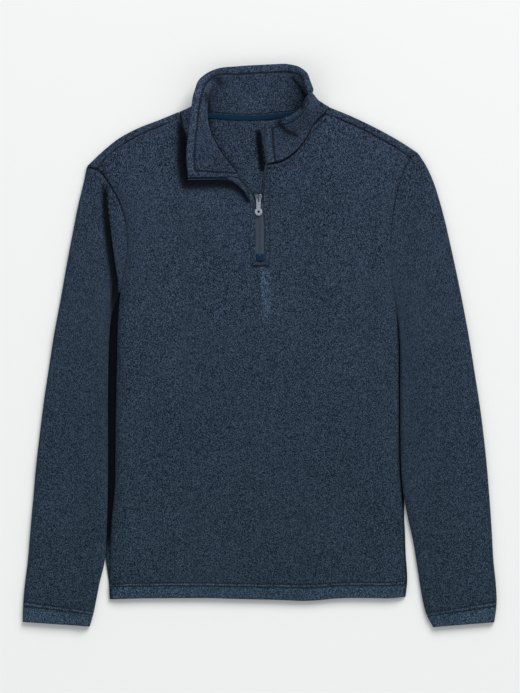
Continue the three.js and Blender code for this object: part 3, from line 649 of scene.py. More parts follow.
def dress(obj: Object, material: Material, nodes: Sequence[str],
          body: str = "sweater") -> Object:
    """Gives a finished piece its finish and the body that it moves with, and hides the solids that it takes
    the place of.

    Args:
        obj: The piece.
        material: Its finish.
        nodes: The solids that it takes the place of.
        body: The body that it moves with.

    Returns:
        The same piece.
    """
    obj.data.materials.clear()
    obj.data.materials.append(material)
    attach(obj, body)
    if nodes:
        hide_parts(*nodes)
    LOG.info("%s: %d faces", obj.name, len(obj.data.polygons))
    return obj


def plain(obj: Object) -> Object:
    """Turns a mesh object with modifiers into a plain mesh.

    Args:
        obj: The object, which is removed.

    Returns:
        The plain object, which has the same name.
    """
    evaluated = obj.evaluated_get(bpy.context.evaluated_depsgraph_get())
    data = bpy.data.meshes.new_from_object(evaluated)
    name = obj.name
    old = obj.data
    bpy.data.objects.remove(obj)
    if old.users == 0:
        bpy.data.meshes.remove(old)
    data.name = name
    return new_object(name, data)


class Nodes:
    """A short way to make and join the nodes of one material."""

    MIX_INPUTS = (0, 6, 7)  # the share and both colours of a Mix node
    MIX_RESULT = 2

    def __init__(self, name: str) -> None:
        """Starts a material with a plain surface.

        Args:
            name: The material's name.
        """
        self.material = bpy.data.materials.new(name)
        self.material.use_nodes = True
        self.tree = self.material.node_tree
        self.tree.nodes.clear()
        self.output = self.tree.nodes.new("ShaderNodeOutputMaterial")
        self.shader = self.tree.nodes.new("ShaderNodeBsdfPrincipled")
        self.link(self.shader.outputs["BSDF"], self.output.inputs["Surface"])

    def new(self, kind: str, **values: object) -> bpy.types.Node:
        """Makes a node.

        Args:
            kind: The node's type.
            **values: Values of its properties, or of its inputs with blanks as underscores.

        Returns:
            The node.
        """
        node = self.tree.nodes.new(kind)
        for key, value in values.items():
            name = key.replace("_", " ")
            if hasattr(node, key) and key not in ("inputs", "outputs"):
                setattr(node, key, value)
            elif name in node.inputs:
                node.inputs[name].default_value = value
            else:
                raise ValueError(f"{kind} has no {key}")
        return node

    def link(self, start: Socket, end: Socket) -> None:
        """Joins two sockets."""
        self.tree.links.new(start, end)

    def surface(self, **values: object) -> None:
        """Sets values of the surface itself, with blanks as underscores."""
        for key, value in values.items():
            self.shader.inputs[key.replace("_", " ")].default_value = value

    def place(self, kind: str) -> Socket:
        """Where a point is: in the flat cloth (UV), on the object, or which way it faces (Normal)."""
        return self.new("ShaderNodeTexCoord").outputs[kind]

    def mapped(self, place: Socket, **values: object) -> Socket:
        """A place that is stretched or turned."""
        return self.passed("ShaderNodeMapping", place, "Vector", "Vector", **values)

    def noise(self, place: Socket, scale: float, detail: float = 2.0, roughness: float = 0.6) -> Socket:
        """A noise pattern as a number."""
        values = {"Scale": scale, "Detail": detail, "Roughness": roughness}
        return self.passed("ShaderNodeTexNoise", place, "Vector", "Fac", **values)

    def ramp(self, value: Socket, stops: Sequence[Tuple[float, Colour]]) -> Socket:
        """Colours by a number.

        Args:
            value: The number.
            stops: Pairs of a number and the colour there.

        Returns:
            The colour.
        """
        node = self.new("ShaderNodeValToRGB")
        elements = node.color_ramp.elements
        while len(elements) < len(stops):
            elements.new(0.5)
        for element, (position, colour) in zip(elements, stops):
            element.position = position
            element.color = (*colour, 1.0)
        self.link(value, node.inputs["Fac"])
        return node.outputs["Color"]

    def passed(self, kind: str, value: Socket, way_in: str, way_out: str, **values: object) -> Socket:
        """Passes a value through one new node.

        Args:
            kind: The node's type.
            value: What goes in.
            way_in: The input that takes it.
            way_out: The output that is wanted.
            **values: The node's other values.

        Returns:
            What comes out.
        """
        node = self.new(kind, **values)
        self.link(value, node.inputs[way_in])
        return node.outputs[way_out]

    def put(self, node: bpy.types.Node, inputs: Sequence[int], values: Sequence[object]) -> None:
        """Gives a node's inputs their sockets or constant values.

        Args:
            node: The node.
            inputs: The numbers of its inputs.
            values: A socket or a value for each.
        """
        for index, value in zip(inputs, values):
            if isinstance(value, Socket):
                self.link(value, node.inputs[index])
            else:
                node.inputs[index].default_value = value

    def mix(self, share: object, a: object, b: object, blend: str = "MIX") -> Socket:
        """Mixes two colours.

        Args:
            share: How much of the second.
            a: The first colour.
            b: The second colour.
            blend: How they are mixed.

        Returns:
            The colour. Each of the three may be a socket or a value.
        """
        node = self.new("ShaderNodeMix", data_type="RGBA", blend_type=blend)
        self.put(node, self.MIX_INPUTS, (share, a, b))
        return node.outputs[self.MIX_RESULT]

    def math(self, operation: str, a: object, b: object = 0.0) -> Socket:
        """One sum of two numbers.

        Args:
            operation: What is done with them.
            a: The first number, a socket or a value.
            b: The second, the same.

        Returns:
            The result.
        """
        node = self.new("ShaderNodeMath", operation=operation)
        self.put(node, (0, 1), (a, b))
        return node.outputs[0]

    def weigh(self, a: Socket, a_share: float, b: Socket, b_share: float) -> Socket:
        """The sum of two numbers, each with its own weight."""
        return self.math("ADD", self.math("MULTIPLY", a, a_share), self.math("MULTIPLY", b, b_share))

    def hollow(self) -> Socket:
        """The painted shade of seams and creases here, or below 0 the painted highlight of a raised ridge.
        """
        return self.new("ShaderNodeAttribute", attribute_name="hollow").outputs["Fac"]

    def bump(self, height: Socket, strength: float, distance: float) -> None:
        """Gives the surface a fine relief."""
        normal = self.passed(
            "ShaderNodeBump", height, "Height", "Normal", Strength=strength, Distance=distance)
        self.link(normal, self.shader.inputs["Normal"])


def rgb(red: int, green: int, blue: int) -> Colour:
    """A screen colour as the light that it stands for.

    Args:
        red: From 0 to 255.
        green: From 0 to 255.
        blue: From 0 to 255.

    Returns:
        The three lights, from 0 to 1.
    """
    def light(value: float) -> float:
        """One of the three lights."""
        share = value / 255
        return share / 12.92 if share <= 0.04045 else ((share + 0.055) / 1.055) ** 2.4

    return light(red), light(green), light(blue)


@dataclass(frozen=True)
class MarlKnit:
    """A brushed marl knit: dark navy yarn flecked with lighter and darker fibres, with painted shade in
    seams, creases and towards the hem, and painted highlights on raised ridges.
    """

    name: str
    dark: Colour = rgb(2, 6, 12)
    middle: Colour = rgb(22, 32, 45)
    light: Colour = rgb(72, 86, 107)
    low: Colour = rgb(2, 32, 22)  # painted shade towards the hem, where the light falls off
    # painted shade colour for seams, creases and places under other parts
    painted_shade_colour: Colour = rgb(1, 2, 4)  # in seams and creases
    fleck: float = 1500.0
    wale: float = 620.0
    depth: float = 0.4
    stitch_shape: Triple = (1.0, 0.72, 1.0)
    fleck_stops: Triple = (0.25, 0.5, 0.75)
    fleck_shares: Tuple[float, float] = (0.55, 0.45)
    patch_scale: float = 9.0
    patch_share: float = 0.04
    low_share: float = 0.25
    low_ends: Tuple[float, float] = (-0.25, 0.3)
    painted_highlight_gain: float = 2.0
    painted_shade_share: float = 0.97
    wale_share: float = 0.35

    def make(self) -> Material:
        """Builds the material.

        Returns:
            The material.
        """
        n = Nodes(self.name)
        flat_cloth = n.place("UV")
        woven = n.mapped(flat_cloth, Scale=self.stitch_shape)
        cells = n.passed("ShaderNodeTexVoronoi", woven, "Vector", "Color", Scale=self.fleck, Randomness=1.0)
        yarns = n.passed("ShaderNodeSeparateColor", cells, "Color", "Red")
        fine = n.noise(woven, self.fleck * 0.8, 2.0, 0.7)
        mixed = n.weigh(yarns, self.fleck_shares[0], fine, self.fleck_shares[1])
        colour = n.ramp(mixed, list(zip(self.fleck_stops, (self.dark, self.middle, self.light))))
        patch = n.ramp(n.noise(woven, self.patch_scale, 2.0, 0.5), [(0.4, self.dark), (0.6, self.light)])
        toned = n.mix(self.patch_share, colour, patch)
        # Painted shade: the knit grows darker towards the hem, by its height along Y.
        level = n.passed("ShaderNodeSeparateXYZ", n.place("Object"), "Vector", "Y")
        start, end = self.low_ends
        ends = {"From_Min": start, "From_Max": end, "To_Min": self.low_share, "To_Max": 0.0}
        lay = n.passed("ShaderNodeMapRange", level, "Value", "Result", **ends)
        shaded_to_hem = n.mix(lay, toned, (*self.low, 1.0))
        # Painted highlight: the knit grows lighter where the cloth's shading value is below 0, on raised
        # ridges and rims.
        wear_and_painted_highlight = n.math("MAXIMUM", n.math("MULTIPLY", n.hollow(), -1.0), 0.0)
        painted_highlight_colour = n.mix(1.0, shaded_to_hem, (*[self.painted_highlight_gain] * 3, 1.0), "MULTIPLY")
        with_painted_highlight = n.mix(wear_and_painted_highlight, shaded_to_hem, painted_highlight_colour)
        # Painted shade: the knit darkens where the cloth's shading value is above 0.
        painted_shading = n.math("MULTIPLY", n.math("MAXIMUM", n.hollow(), 0.0), self.painted_shade_share)
        n.link(n.mix(painted_shading, with_painted_highlight, (*self.painted_shade_colour, 1.0)), n.shader.inputs["Base Color"])
        waves = {"Scale": self.wale / 6.2832 * 2, "Distortion": 1.2, "Detail": 1.0}
        wales = n.passed("ShaderNodeTexWave", flat_cloth, "Vector", "Fac", **waves)
        n.bump(n.math("ADD", n.math("MULTIPLY", wales, self.wale_share), fine), self.depth, 0.0006)
        n.surface(Roughness=0.92, Specular_IOR_Level=0.05, Sheen_Weight=0.04, Sheen_Roughness=0.55)
        n.surface(Sheen_Tint=(0.62, 0.72, 0.95, 1.0))
        return n.material


@dataclass(frozen=True)
class TwillTape:
    """A narrow woven tape with a fine slanting rib."""

    name: str
    dark: Colour
    light: Colour
    rib: float = 900.0
    slant: float = 0.7

    def make(self) -> Material:
        """Builds the material.

        Returns:
            The material.
        """
        n = Nodes(self.name)
        flat_cloth = n.place("UV")
        slanted = n.mapped(flat_cloth, Rotation=(0.0, 0.0, self.slant))
        waves = {"Scale": self.rib / 3.1416, "Distortion": 0.6, "Detail": 1.0}
        ribs = n.passed("ShaderNodeTexWave", slanted, "Vector", "Fac", **waves)
        both = n.weigh(ribs, 0.55, n.noise(flat_cloth, self.rib, 2.0, 0.7), 0.45)
        n.link(n.ramp(both, [(0.25, self.dark), (0.8, self.light)]), n.shader.inputs["Base Color"])
        n.bump(both, 0.4, 0.0003)
        n.surface(Roughness=0.8, Specular_IOR_Level=0.12)
        return n.material


@dataclass(frozen=True)
class MouldedNylon:
    """The smooth grey nylon of the zip's coil, or the thread of a seam."""

    name: str
    dark: Colour
    light: Colour
    roughness: float = 0.5

    def make(self) -> Material:
        """Builds the material.

        Returns:
            The material.
        """
        n = Nodes(self.name)
        place = n.place("Object")
        tone = n.ramp(n.noise(place, 420.0, 2.0, 0.6), [(0.3, self.dark), (0.7, self.light)])
        n.link(tone, n.shader.inputs["Base Color"])
        n.bump(n.noise(place, 2400.0, 1.0, 0.5), 0.25, 0.0002)
        n.surface(Roughness=self.roughness)
        return n.material


@dataclass(frozen=True)
class SatinMetal:
    """Plated metal, brushed soft, with the faint scratches of handling and painted shade on its upright
    sides and rounded edges.
    """

    name: str
    colour: Colour = rgb(186, 192, 200)
    wear_and_painted_highlight: Colour = rgb(132, 140, 150)
    # painted shade colour for the upright sides and rounded edges
    edge: Colour = rgb(14, 18, 26)
    painted_edge_shade_ends: Tuple[float, float] = (0.72, 0.97)
    gloss: Tuple[float, float] = (0.24, 0.46)

    def make(self) -> Material:
        """Builds the material.

        Returns:
            The material.
        """
        n = Nodes(self.name)
        place = n.place("Object")
        # Painted shade: the more upright the surface, the closer it comes to the edge colour.
        facing = n.passed("ShaderNodeSeparateXYZ", n.place("Normal"), "Vector", "Z")
        ends = {"From_Min": self.painted_edge_shade_ends[0], "From_Max": self.painted_edge_shade_ends[1]}
        flatness = n.passed("ShaderNodeMapRange", n.math("ABSOLUTE", facing), "Value", "Result", **ends)
        plate = n.ramp(n.noise(place, 260.0, 3.0, 0.6), [(0.3, self.wear_and_painted_highlight), (0.7, self.colour)])
        edge_shaded = n.mix(flatness, (*self.edge, 1.0), plate)
        n.link(edge_shaded, n.shader.inputs["Base Color"])
        scratches = n.noise(n.mapped(place, Scale=(1.0, 0.08, 1.0)), 5200.0, 2.0, 0.7)
        ends = {"To_Min": self.gloss[0], "To_Max": self.gloss[1]}
        gloss = n.passed("ShaderNodeMapRange", scratches, "Value", "Result", **ends)
        n.link(gloss, n.shader.inputs["Roughness"])
        n.bump(scratches, 0.12, 0.0001)
        n.surface(Metallic=1.0)
        return n.material


@dataclass(frozen=True)
class Lamp:
    """One soft square light: where it stands, its size and its power."""

    name: str
    place: Tuple[float, float, float]
    size: float
    power: float


@dataclass(frozen=True)
class Studio:
    """The pale floor, the soft light from the top right and the camera straight above."""

    centre: Tuple[float, float] = (0.00074, -0.00104)
    picture_height: float = 1.0256
    lens: float = 300.0
    sensor: float = 36.0
    floor_half: float = 8.0
    floor_z: float = -0.4
    floor_light: Colour = (0.725, 0.73, 0.712)
    lamps: Tuple[Lamp, ...] = (
        Lamp("key", (3.4, 7.4, 6.8), 6.5, 1140.0),
        Lamp("fill", (-2.0, -1.6, 3.0), 2.4, 12.0),
    )
    sky: Colour = (0.93, 0.96, 1.0)
    sky_strength: float = 0.62

    def floor(self) -> None:
        """Makes the floor, just under the cloth."""
        half, z = self.floor_half / MM, self.floor_z
        points = np.array([(-half, -half, z), (half, -half, z), (half, half, z), (-half, half, z)])
        obj = build_mesh("floor", points, np.array([[0, 1, 2, 3]]), points[:, :2])
        n = Nodes("pale_floor")
        n.surface(Base_Color=(*self.floor_light, 1.0), Roughness=0.9, Specular_IOR_Level=0.0)
        obj.data.materials.append(n.material)

    def light(self, lamp: Lamp) -> None:
        """Hangs one lamp, turned to the garment.

        Args:
            lamp: The lamp.
        """
        data = bpy.data.lights.new(lamp.name, "AREA")
        data.size = lamp.size
        data.energy = lamp.power
        obj = new_object(lamp.name, data)
        obj.location = lamp.place
        obj.rotation_mode = "QUATERNION"
        obj.rotation_quaternion = Vector(-np.array(lamp.place)).to_track_quat("-Z", "Y")
        obj.visible_camera = False

    def camera(self) -> None:
        """A long lens straight above, so that height hardly changes the scale."""
        data = bpy.data.cameras.new("camera")
        data.lens = self.lens
        data.sensor_width = self.sensor
        distance = self.picture_height / self.sensor * self.lens
        data.clip_end = distance * 4
        obj = new_object("camera", data)
        obj.location = (*self.centre, distance)
        bpy.context.scene.camera = obj

    def set_up(self) -> None:
        """Makes everything round the garment."""
        bpy.context.scene.view_settings.view_transform = "Standard"
        self.floor()
        self.camera()
        for lamp in self.lamps:
            self.light(lamp)
        world = bpy.data.worlds.new("studio")
        world.use_nodes = True
        sky = world.node_tree.nodes["Background"].inputs
        sky["Color"].default_value = (*self.sky, 1.0)
        sky["Strength"].default_value = self.sky_strength
        bpy.context.scene.world = world


@dataclass(frozen=True)
class LinkSize:
    """One stitch or tooth of the zip, in millimetres: from one to the next, and its own size."""

    pitch: float
    length: float
    width: float
    height: float

    def inputs(self) -> Dict[str, float]:
        """The sizes by the names that the tree has for them."""
        return {"Pitch": self.pitch, "Length": self.length, "Width": self.width, "Height": self.height}


class ThreadTree:
    """Geometry nodes that lay stitches, or other small links, along lines."""

    def __init__(self, name: str, material: Material, size: LinkSize) -> None:
        """Builds the tree.

        Args:
            name: The tree's name.
            material: What the links are made of.
            size: The size of one link.
        """
        self.size = size
        self.group = bpy.data.node_groups.new(name, "GeometryNodeTree")
        sockets = self.group.interface
        sockets.new_socket("Lines", in_out="INPUT", socket_type="NodeSocketGeometry")
        self.inputs = {
            label: sockets.new_socket(label, in_out="INPUT", socket_type="NodeSocketFloat").identifier
            for label in size.inputs()
        }
        sockets.new_socket("Links", in_out="OUTPUT", socket_type="NodeSocketGeometry")
        make = self.group.nodes.new
        start, end = make("NodeGroupInput"), make("NodeGroupOutput")
        curve = make("GeometryNodeMeshToCurve")
        again = make("GeometryNodeResampleCurve")
        again.mode = "LENGTH"
        points = make("GeometryNodeInstanceOnPoints")
        ball = make("GeometryNodeMeshUVSphere")
        for label, value in (("Segments", 6), ("Rings", 4), ("Radius", 0.5)):
            ball.inputs[label].default_value = value
        tangent = make("GeometryNodeInputTangent")
        turn = make("FunctionNodeAlignRotationToVector")
        turn.axis = "X"
        scale = make("ShaderNodeCombineXYZ")
        real = make("GeometryNodeRealizeInstances")
        smooth_faces = make("GeometryNodeSetShadeSmooth")
        finish = make("GeometryNodeSetMaterial")
        finish.inputs["Material"].default_value = material
        for out_of, label, into, name in (
            (start, "Lines", curve, "Mesh"), (curve, "Curve", again, "Curve"),
            (start, "Pitch", again, "Length"), (again, "Curve", points, "Points"),
            (ball, "Mesh", points, "Instance"), (tangent, "Tangent", turn, "Vector"),
            (turn, "Rotation", points, "Rotation"), (start, "Length", scale, "X"),
            (start, "Width", scale, "Y"), (start, "Height", scale, "Z"),
            (scale, "Vector", points, "Scale"), (points, "Instances", real, "Geometry"),
            (real, "Geometry", smooth_faces, "Geometry"), (smooth_faces, "Geometry", finish, "Geometry"),
            (finish, "Geometry", end, "Links"),
        ):
            self.group.links.new(out_of.outputs[label], into.inputs[name])

    def lay(self, name: str, lines: Sequence[Array]) -> Object:
        """Lays links along lines.

        Args:
            name: The piece's name.
            lines: The lines, as points in millimetres.

        Returns:
            The links as one plain mesh.
        """
        edges, count = [], 0
        for line in lines:
            edges += [(count + i, count + i + 1) for i in range(len(line) - 1)]
            count += len(line)
        data = bpy.data.meshes.new(name)
        data.from_pydata((np.concatenate(lines) * MM).tolist(), edges, [])
        obj = new_object(name, data)
        modifier = obj.modifiers.new("links", "NODES")
        modifier.node_group = self.group
        for label, value in self.size.inputs().items():
            modifier[self.inputs[label]] = value * MM
        bpy.context.view_layer.update()
        return plain(obj)


@dataclass
class Pattern:
    """The coarse grids that the cloth is refined from, as the part's solids have them."""

    shoulders: Dict[Side, Tuple[Array, Array, Array]] = field(default_factory=dict)
    fronts: Dict[Side, Array] = field(default_factory=dict)
    back_edge: Dict[Side, Array] = field(default_factory=dict)

    def __post_init__(self) -> None:
        """Works out the shoulders and both halves of the front."""
        for side in Side:
            rows = CUT[side].shoulder
            outline = on_floor(rows["outlineX"], rows["outlineY"])
            seam = on_floor(rows["seamX"], rows["seamY"])
            fold, sewn = along(outline, SHOULDER_STEPS), along(seam, SHOULDER_STEPS)
            self.shoulders[side] = (fold, sewn, unit(sewn - fold))
            self.back_edge[side] = self.side_levels(side, "back")
        for side in Side:
            self.fronts[side] = self.front_half(side)

    @staticmethod
    def neck(side: Optional[Side]) -> Array:
        """The neck seam of one side of the front, or of the back where no side is given."""
        rows = BACK_COLLAR if side is None else CUT[side].collar
        return on_floor(rows["baseX"], rows["baseY"])

    def over_shoulder(self, side: Side, turn: float) -> Array:
        """Points of the cloth that folds over the shoulder.

        Args:
            side: Which shoulder.
            turn: How far round the fold they are, from 0 underneath to 1 on top.

        Returns:
            One point for each of the shoulder's steps.
        """
        fold, _, inward = self.shoulders[side]
        angle = math.pi * turn
        points = fold + inward * (CLOTH / 2 + FOLD_RADIUS * (1 - math.sin(angle)))
        points[:, 2] = BACK_Z + FOLD_RADIUS * (1 - math.cos(angle))
        return points

    @staticmethod
    def side_levels(side: Side, column: str) -> Array:
        """The side edge from the hem to the shoulder.

        Args:
            side: Which side.
            column: Whose edge it is, the "front" or the "back".

        Returns:
            One point for each level.
        """
        rows, armhole = CUT[side].side, CUT[side].armhole
        band = rows["y"][0] + HEM_DEPTH
        steps = band + (rows["y"][-1] - band) * np.arange(1, SIDE_ROWS + 1) / SIDE_ROWS
        y = np.concatenate([[rows["y"][0], band], steps])
        x = smooth(rows, "y", column, y)
        if column == "back":
            x = Pattern.reach_sleeve(side, x, y)
        return np.concatenate([on_floor(x, y), on_floor(armhole[column], armhole["y"])])

    @staticmethod
    def reach_sleeve(side: Side, x: Array, y: Array) -> Array:
        """Lets the back's edge reach under the sleeve's inner fold where the two lie together.

        Args:
            side: Which side.
            x: How far across the edge is.
            y: How far along.

        Returns:
            How far across it is now.
        """
        sleeve = CUT[side].sleeve
        order = np.argsort(sleeve["innerY"])
        inner = np.interp(y, sleeve["innerY"][order], sleeve["innerX"][order])
        gap = np.abs(inner) - np.abs(x)
        lowest = -310 if side is Side.RIGHT else -238
        limit = np.where(y > lowest, 9.0, 3.6)
        near = np.clip((limit - gap) / 0.6, 0, 1) * (gap > 0) * (y < 86)
        return x + side.value * np.maximum(gap, 0) * near

    @staticmethod
    def middle_levels(side: Side) -> Array:
        """The front's middle from the hem to the neck seam, which splits at the zip opening.

        Args:
            side: Which half.

        Returns:
            One point for each level.
        """
        hem = float(smooth(HEM, "x", "y", ZIP_X))
        band = hem + HEM_DEPTH
        shared = SIDE_ROWS + 2
        closed = band + (SLOT_FOOT_Y - band) * np.arange(1, shared + 1) / shared
        lower = on_floor(np.full(shared + 2, ZIP_X), np.concatenate([[hem, band], closed]))
        word = side.name.lower()
        return np.concatenate([lower, on_floor(ZIP_OPENING[f"{word}X"], ZIP_OPENING[f"{word}Y"])])

    @staticmethod
    def panel(left: Array, right: Array, upper: Array, height: float) -> Array:
        """Fills a flat panel from the hem up. Each edge bends only the points near it.

        Args:
            left: The left edge, by level.
            right: The right edge, by level.
            upper: The upper edge.
            height: Where the panel lies.

        Returns:
            The points, by level and column.
        """
        across = (upper[:, 0] - upper[0, 0]) / (upper[-1, 0] - upper[0, 0])
        hem_x = left[0, 0] * (1 - across) + right[0, 0] * across
        lower = on_floor(hem_x, smooth(HEM, "x", "y", hem_x))
        u = across[None, :, None]
        levels = ((right[:, 1] - right[0, 1]) / (right[-1, 1] - right[0, 1]))[:, None, None]
        grid = left[:, None] * (1 - u) + right[:, None] * u
        start, end = left[-1, 0], right[-1, 0]
        drift = (left[:, None, :1] - start) * (1 - u) ** 4 + (right[:, None, :1] - end) * u ** 4
        grid[..., :1] = start * (1 - u) + end * u + drift
        low, high = lower - grid[0], upper - grid[-1]
        grid = grid + low[None] * (1 - levels) ** 9 + high[None] * levels ** 4
        grid[..., 2] = height
        return grid

    def front_half(self, side: Side) -> Array:
        """The front's points on one side.

        Args:
            side: Which half.

        Returns:
            The points, by level and from the side edge to the middle.
        """
        left, right = self.side_levels(side, "front"), self.middle_levels(side)
        from_shoulder = self.neck(side)[::side.value]
        upper = np.concatenate([self.shoulders[side][1], from_shoulder[1:]])
        upper[0] = left[-1]
        return self.panel(left, right, upper, FRONT_Z)

    def back_grid(self) -> Array:
        """The back's points. Its shoulders and neck are its upper edge.

        Returns:
            The points, by level and from the wearer's right to left.
        """
        tips = {side: self.over_shoulder(side, 0) * (1, 1, 0) for side in Side}
        upper = np.concatenate([tips[Side.RIGHT], self.neck(None), tips[Side.LEFT][::-1]])
        left, right = self.back_edge[Side.RIGHT].copy(), self.back_edge[Side.LEFT].copy()
        left[-1], right[-1] = upper[0], upper[-1]
        return self.panel(left, right, upper, BACK_Z)


def curl_at(distance: Array) -> Array:
    """How far the front drops to the lower layer, by the distance from its side edge."""
    return hump(distance, 5.5, 1.8)


def zip_ridge(x: Array, y: Array) -> Array:
    """The soft upright ridge below the zip's end, crisp on its right-hand side.

    Args:
        x: Across.
        y: Along.

    Returns:
        Its height at each point.
    """
    across = x - np.interp(y, [34, 60, 114], [5.5, 3.0, 2.2])
    reach = np.interp(y, [26, 70, 114], [9.0, 13.0, 12.0])
    shape = np.where(across < 0, hump(across, 1.4), hump(np.abs(across), reach, 5))
    return RIDGE * shape * grow(116 - y, 6) * grow(y - 24, 22)


def arm_crease(x: Array, y: Array) -> Tuple[Array, Array]:
    """The deep crease where the right sleeve turns under beside the body.

    Args:
        x: Across.
        y: Along.

    Returns:
        How deep it is at each point, and the painted shade in the crease there, from 0 to 1.
    """
    line = np.interp(y, [23, 93, 127, 171, 205, 236], [-209.0, -209.4, -214.5, -220.6, -224.4, -226.0])
    across = x - line
    reach = np.interp(y, [90, 170, 240], [14.0, 13.5, 9.0])
    shape = np.where(across < 0, np.clip(1 + across / reach, 0, 1), np.clip(1 - across / 1.6, 0, 1))
    ends = grow(244 - y, 16) * grow(y - 16, 20)
    return 5.5 * shape * ends, np.clip(shape * 2.4, 0, 1) ** 0.7 * ends


@dataclass(frozen=True)
class TurnedHem:
    """A hem that is turned up and held by two rows of stitches, in millimetres from its fold."""

    rows: Tuple[float, float]
    middle: float  # of the smooth band between the fold and the stitches
    band_highlight: float  # painted highlight: how much paler the band is
    reach: float  # of the painted highlight on the ridge between the rows
    rise: float  # how much thicker the band is than the cloth

    def wear_and_painted_highlight(self, distance: Array) -> Array:
        """The painted highlight that makes the band and the ridge between its stitches paler."""
        band = self.band_highlight * hump(distance - self.middle, self.middle, 6)
        return np.maximum(band, 0.6 * hump(distance - sum(self.rows) / 2, self.reach))

    def stitch(self, height: Array, painted_shading: Array, distance: Array, pucker: Array) -> Tuple[Array, Array]:
        """Pulls both rows of stitches into the cloth with painted shade along them, and raises the band.

        Args:
            height: The height of the cloth.
            painted_shading: The painted shade and highlight so far.
            distance: From the fold of the hem.
            pucker: From 0 to 1 and back along each row, as the stitches pull.

        Returns:
            The new height, and the painted shade and highlight now.
        """
        for row in self.rows:
            height = height + dip(distance - row, 1.2, 1.3) * (0.7 + 0.3 * pucker)
            # Painted shade along each row of stitches.
            painted_shading = add_painted_shade(painted_shading, -dip(distance - row, 1.0, 1.0))
        return height + self.rise / (1 + np.exp((distance - self.rows[1]) / 1.2)), painted_shading


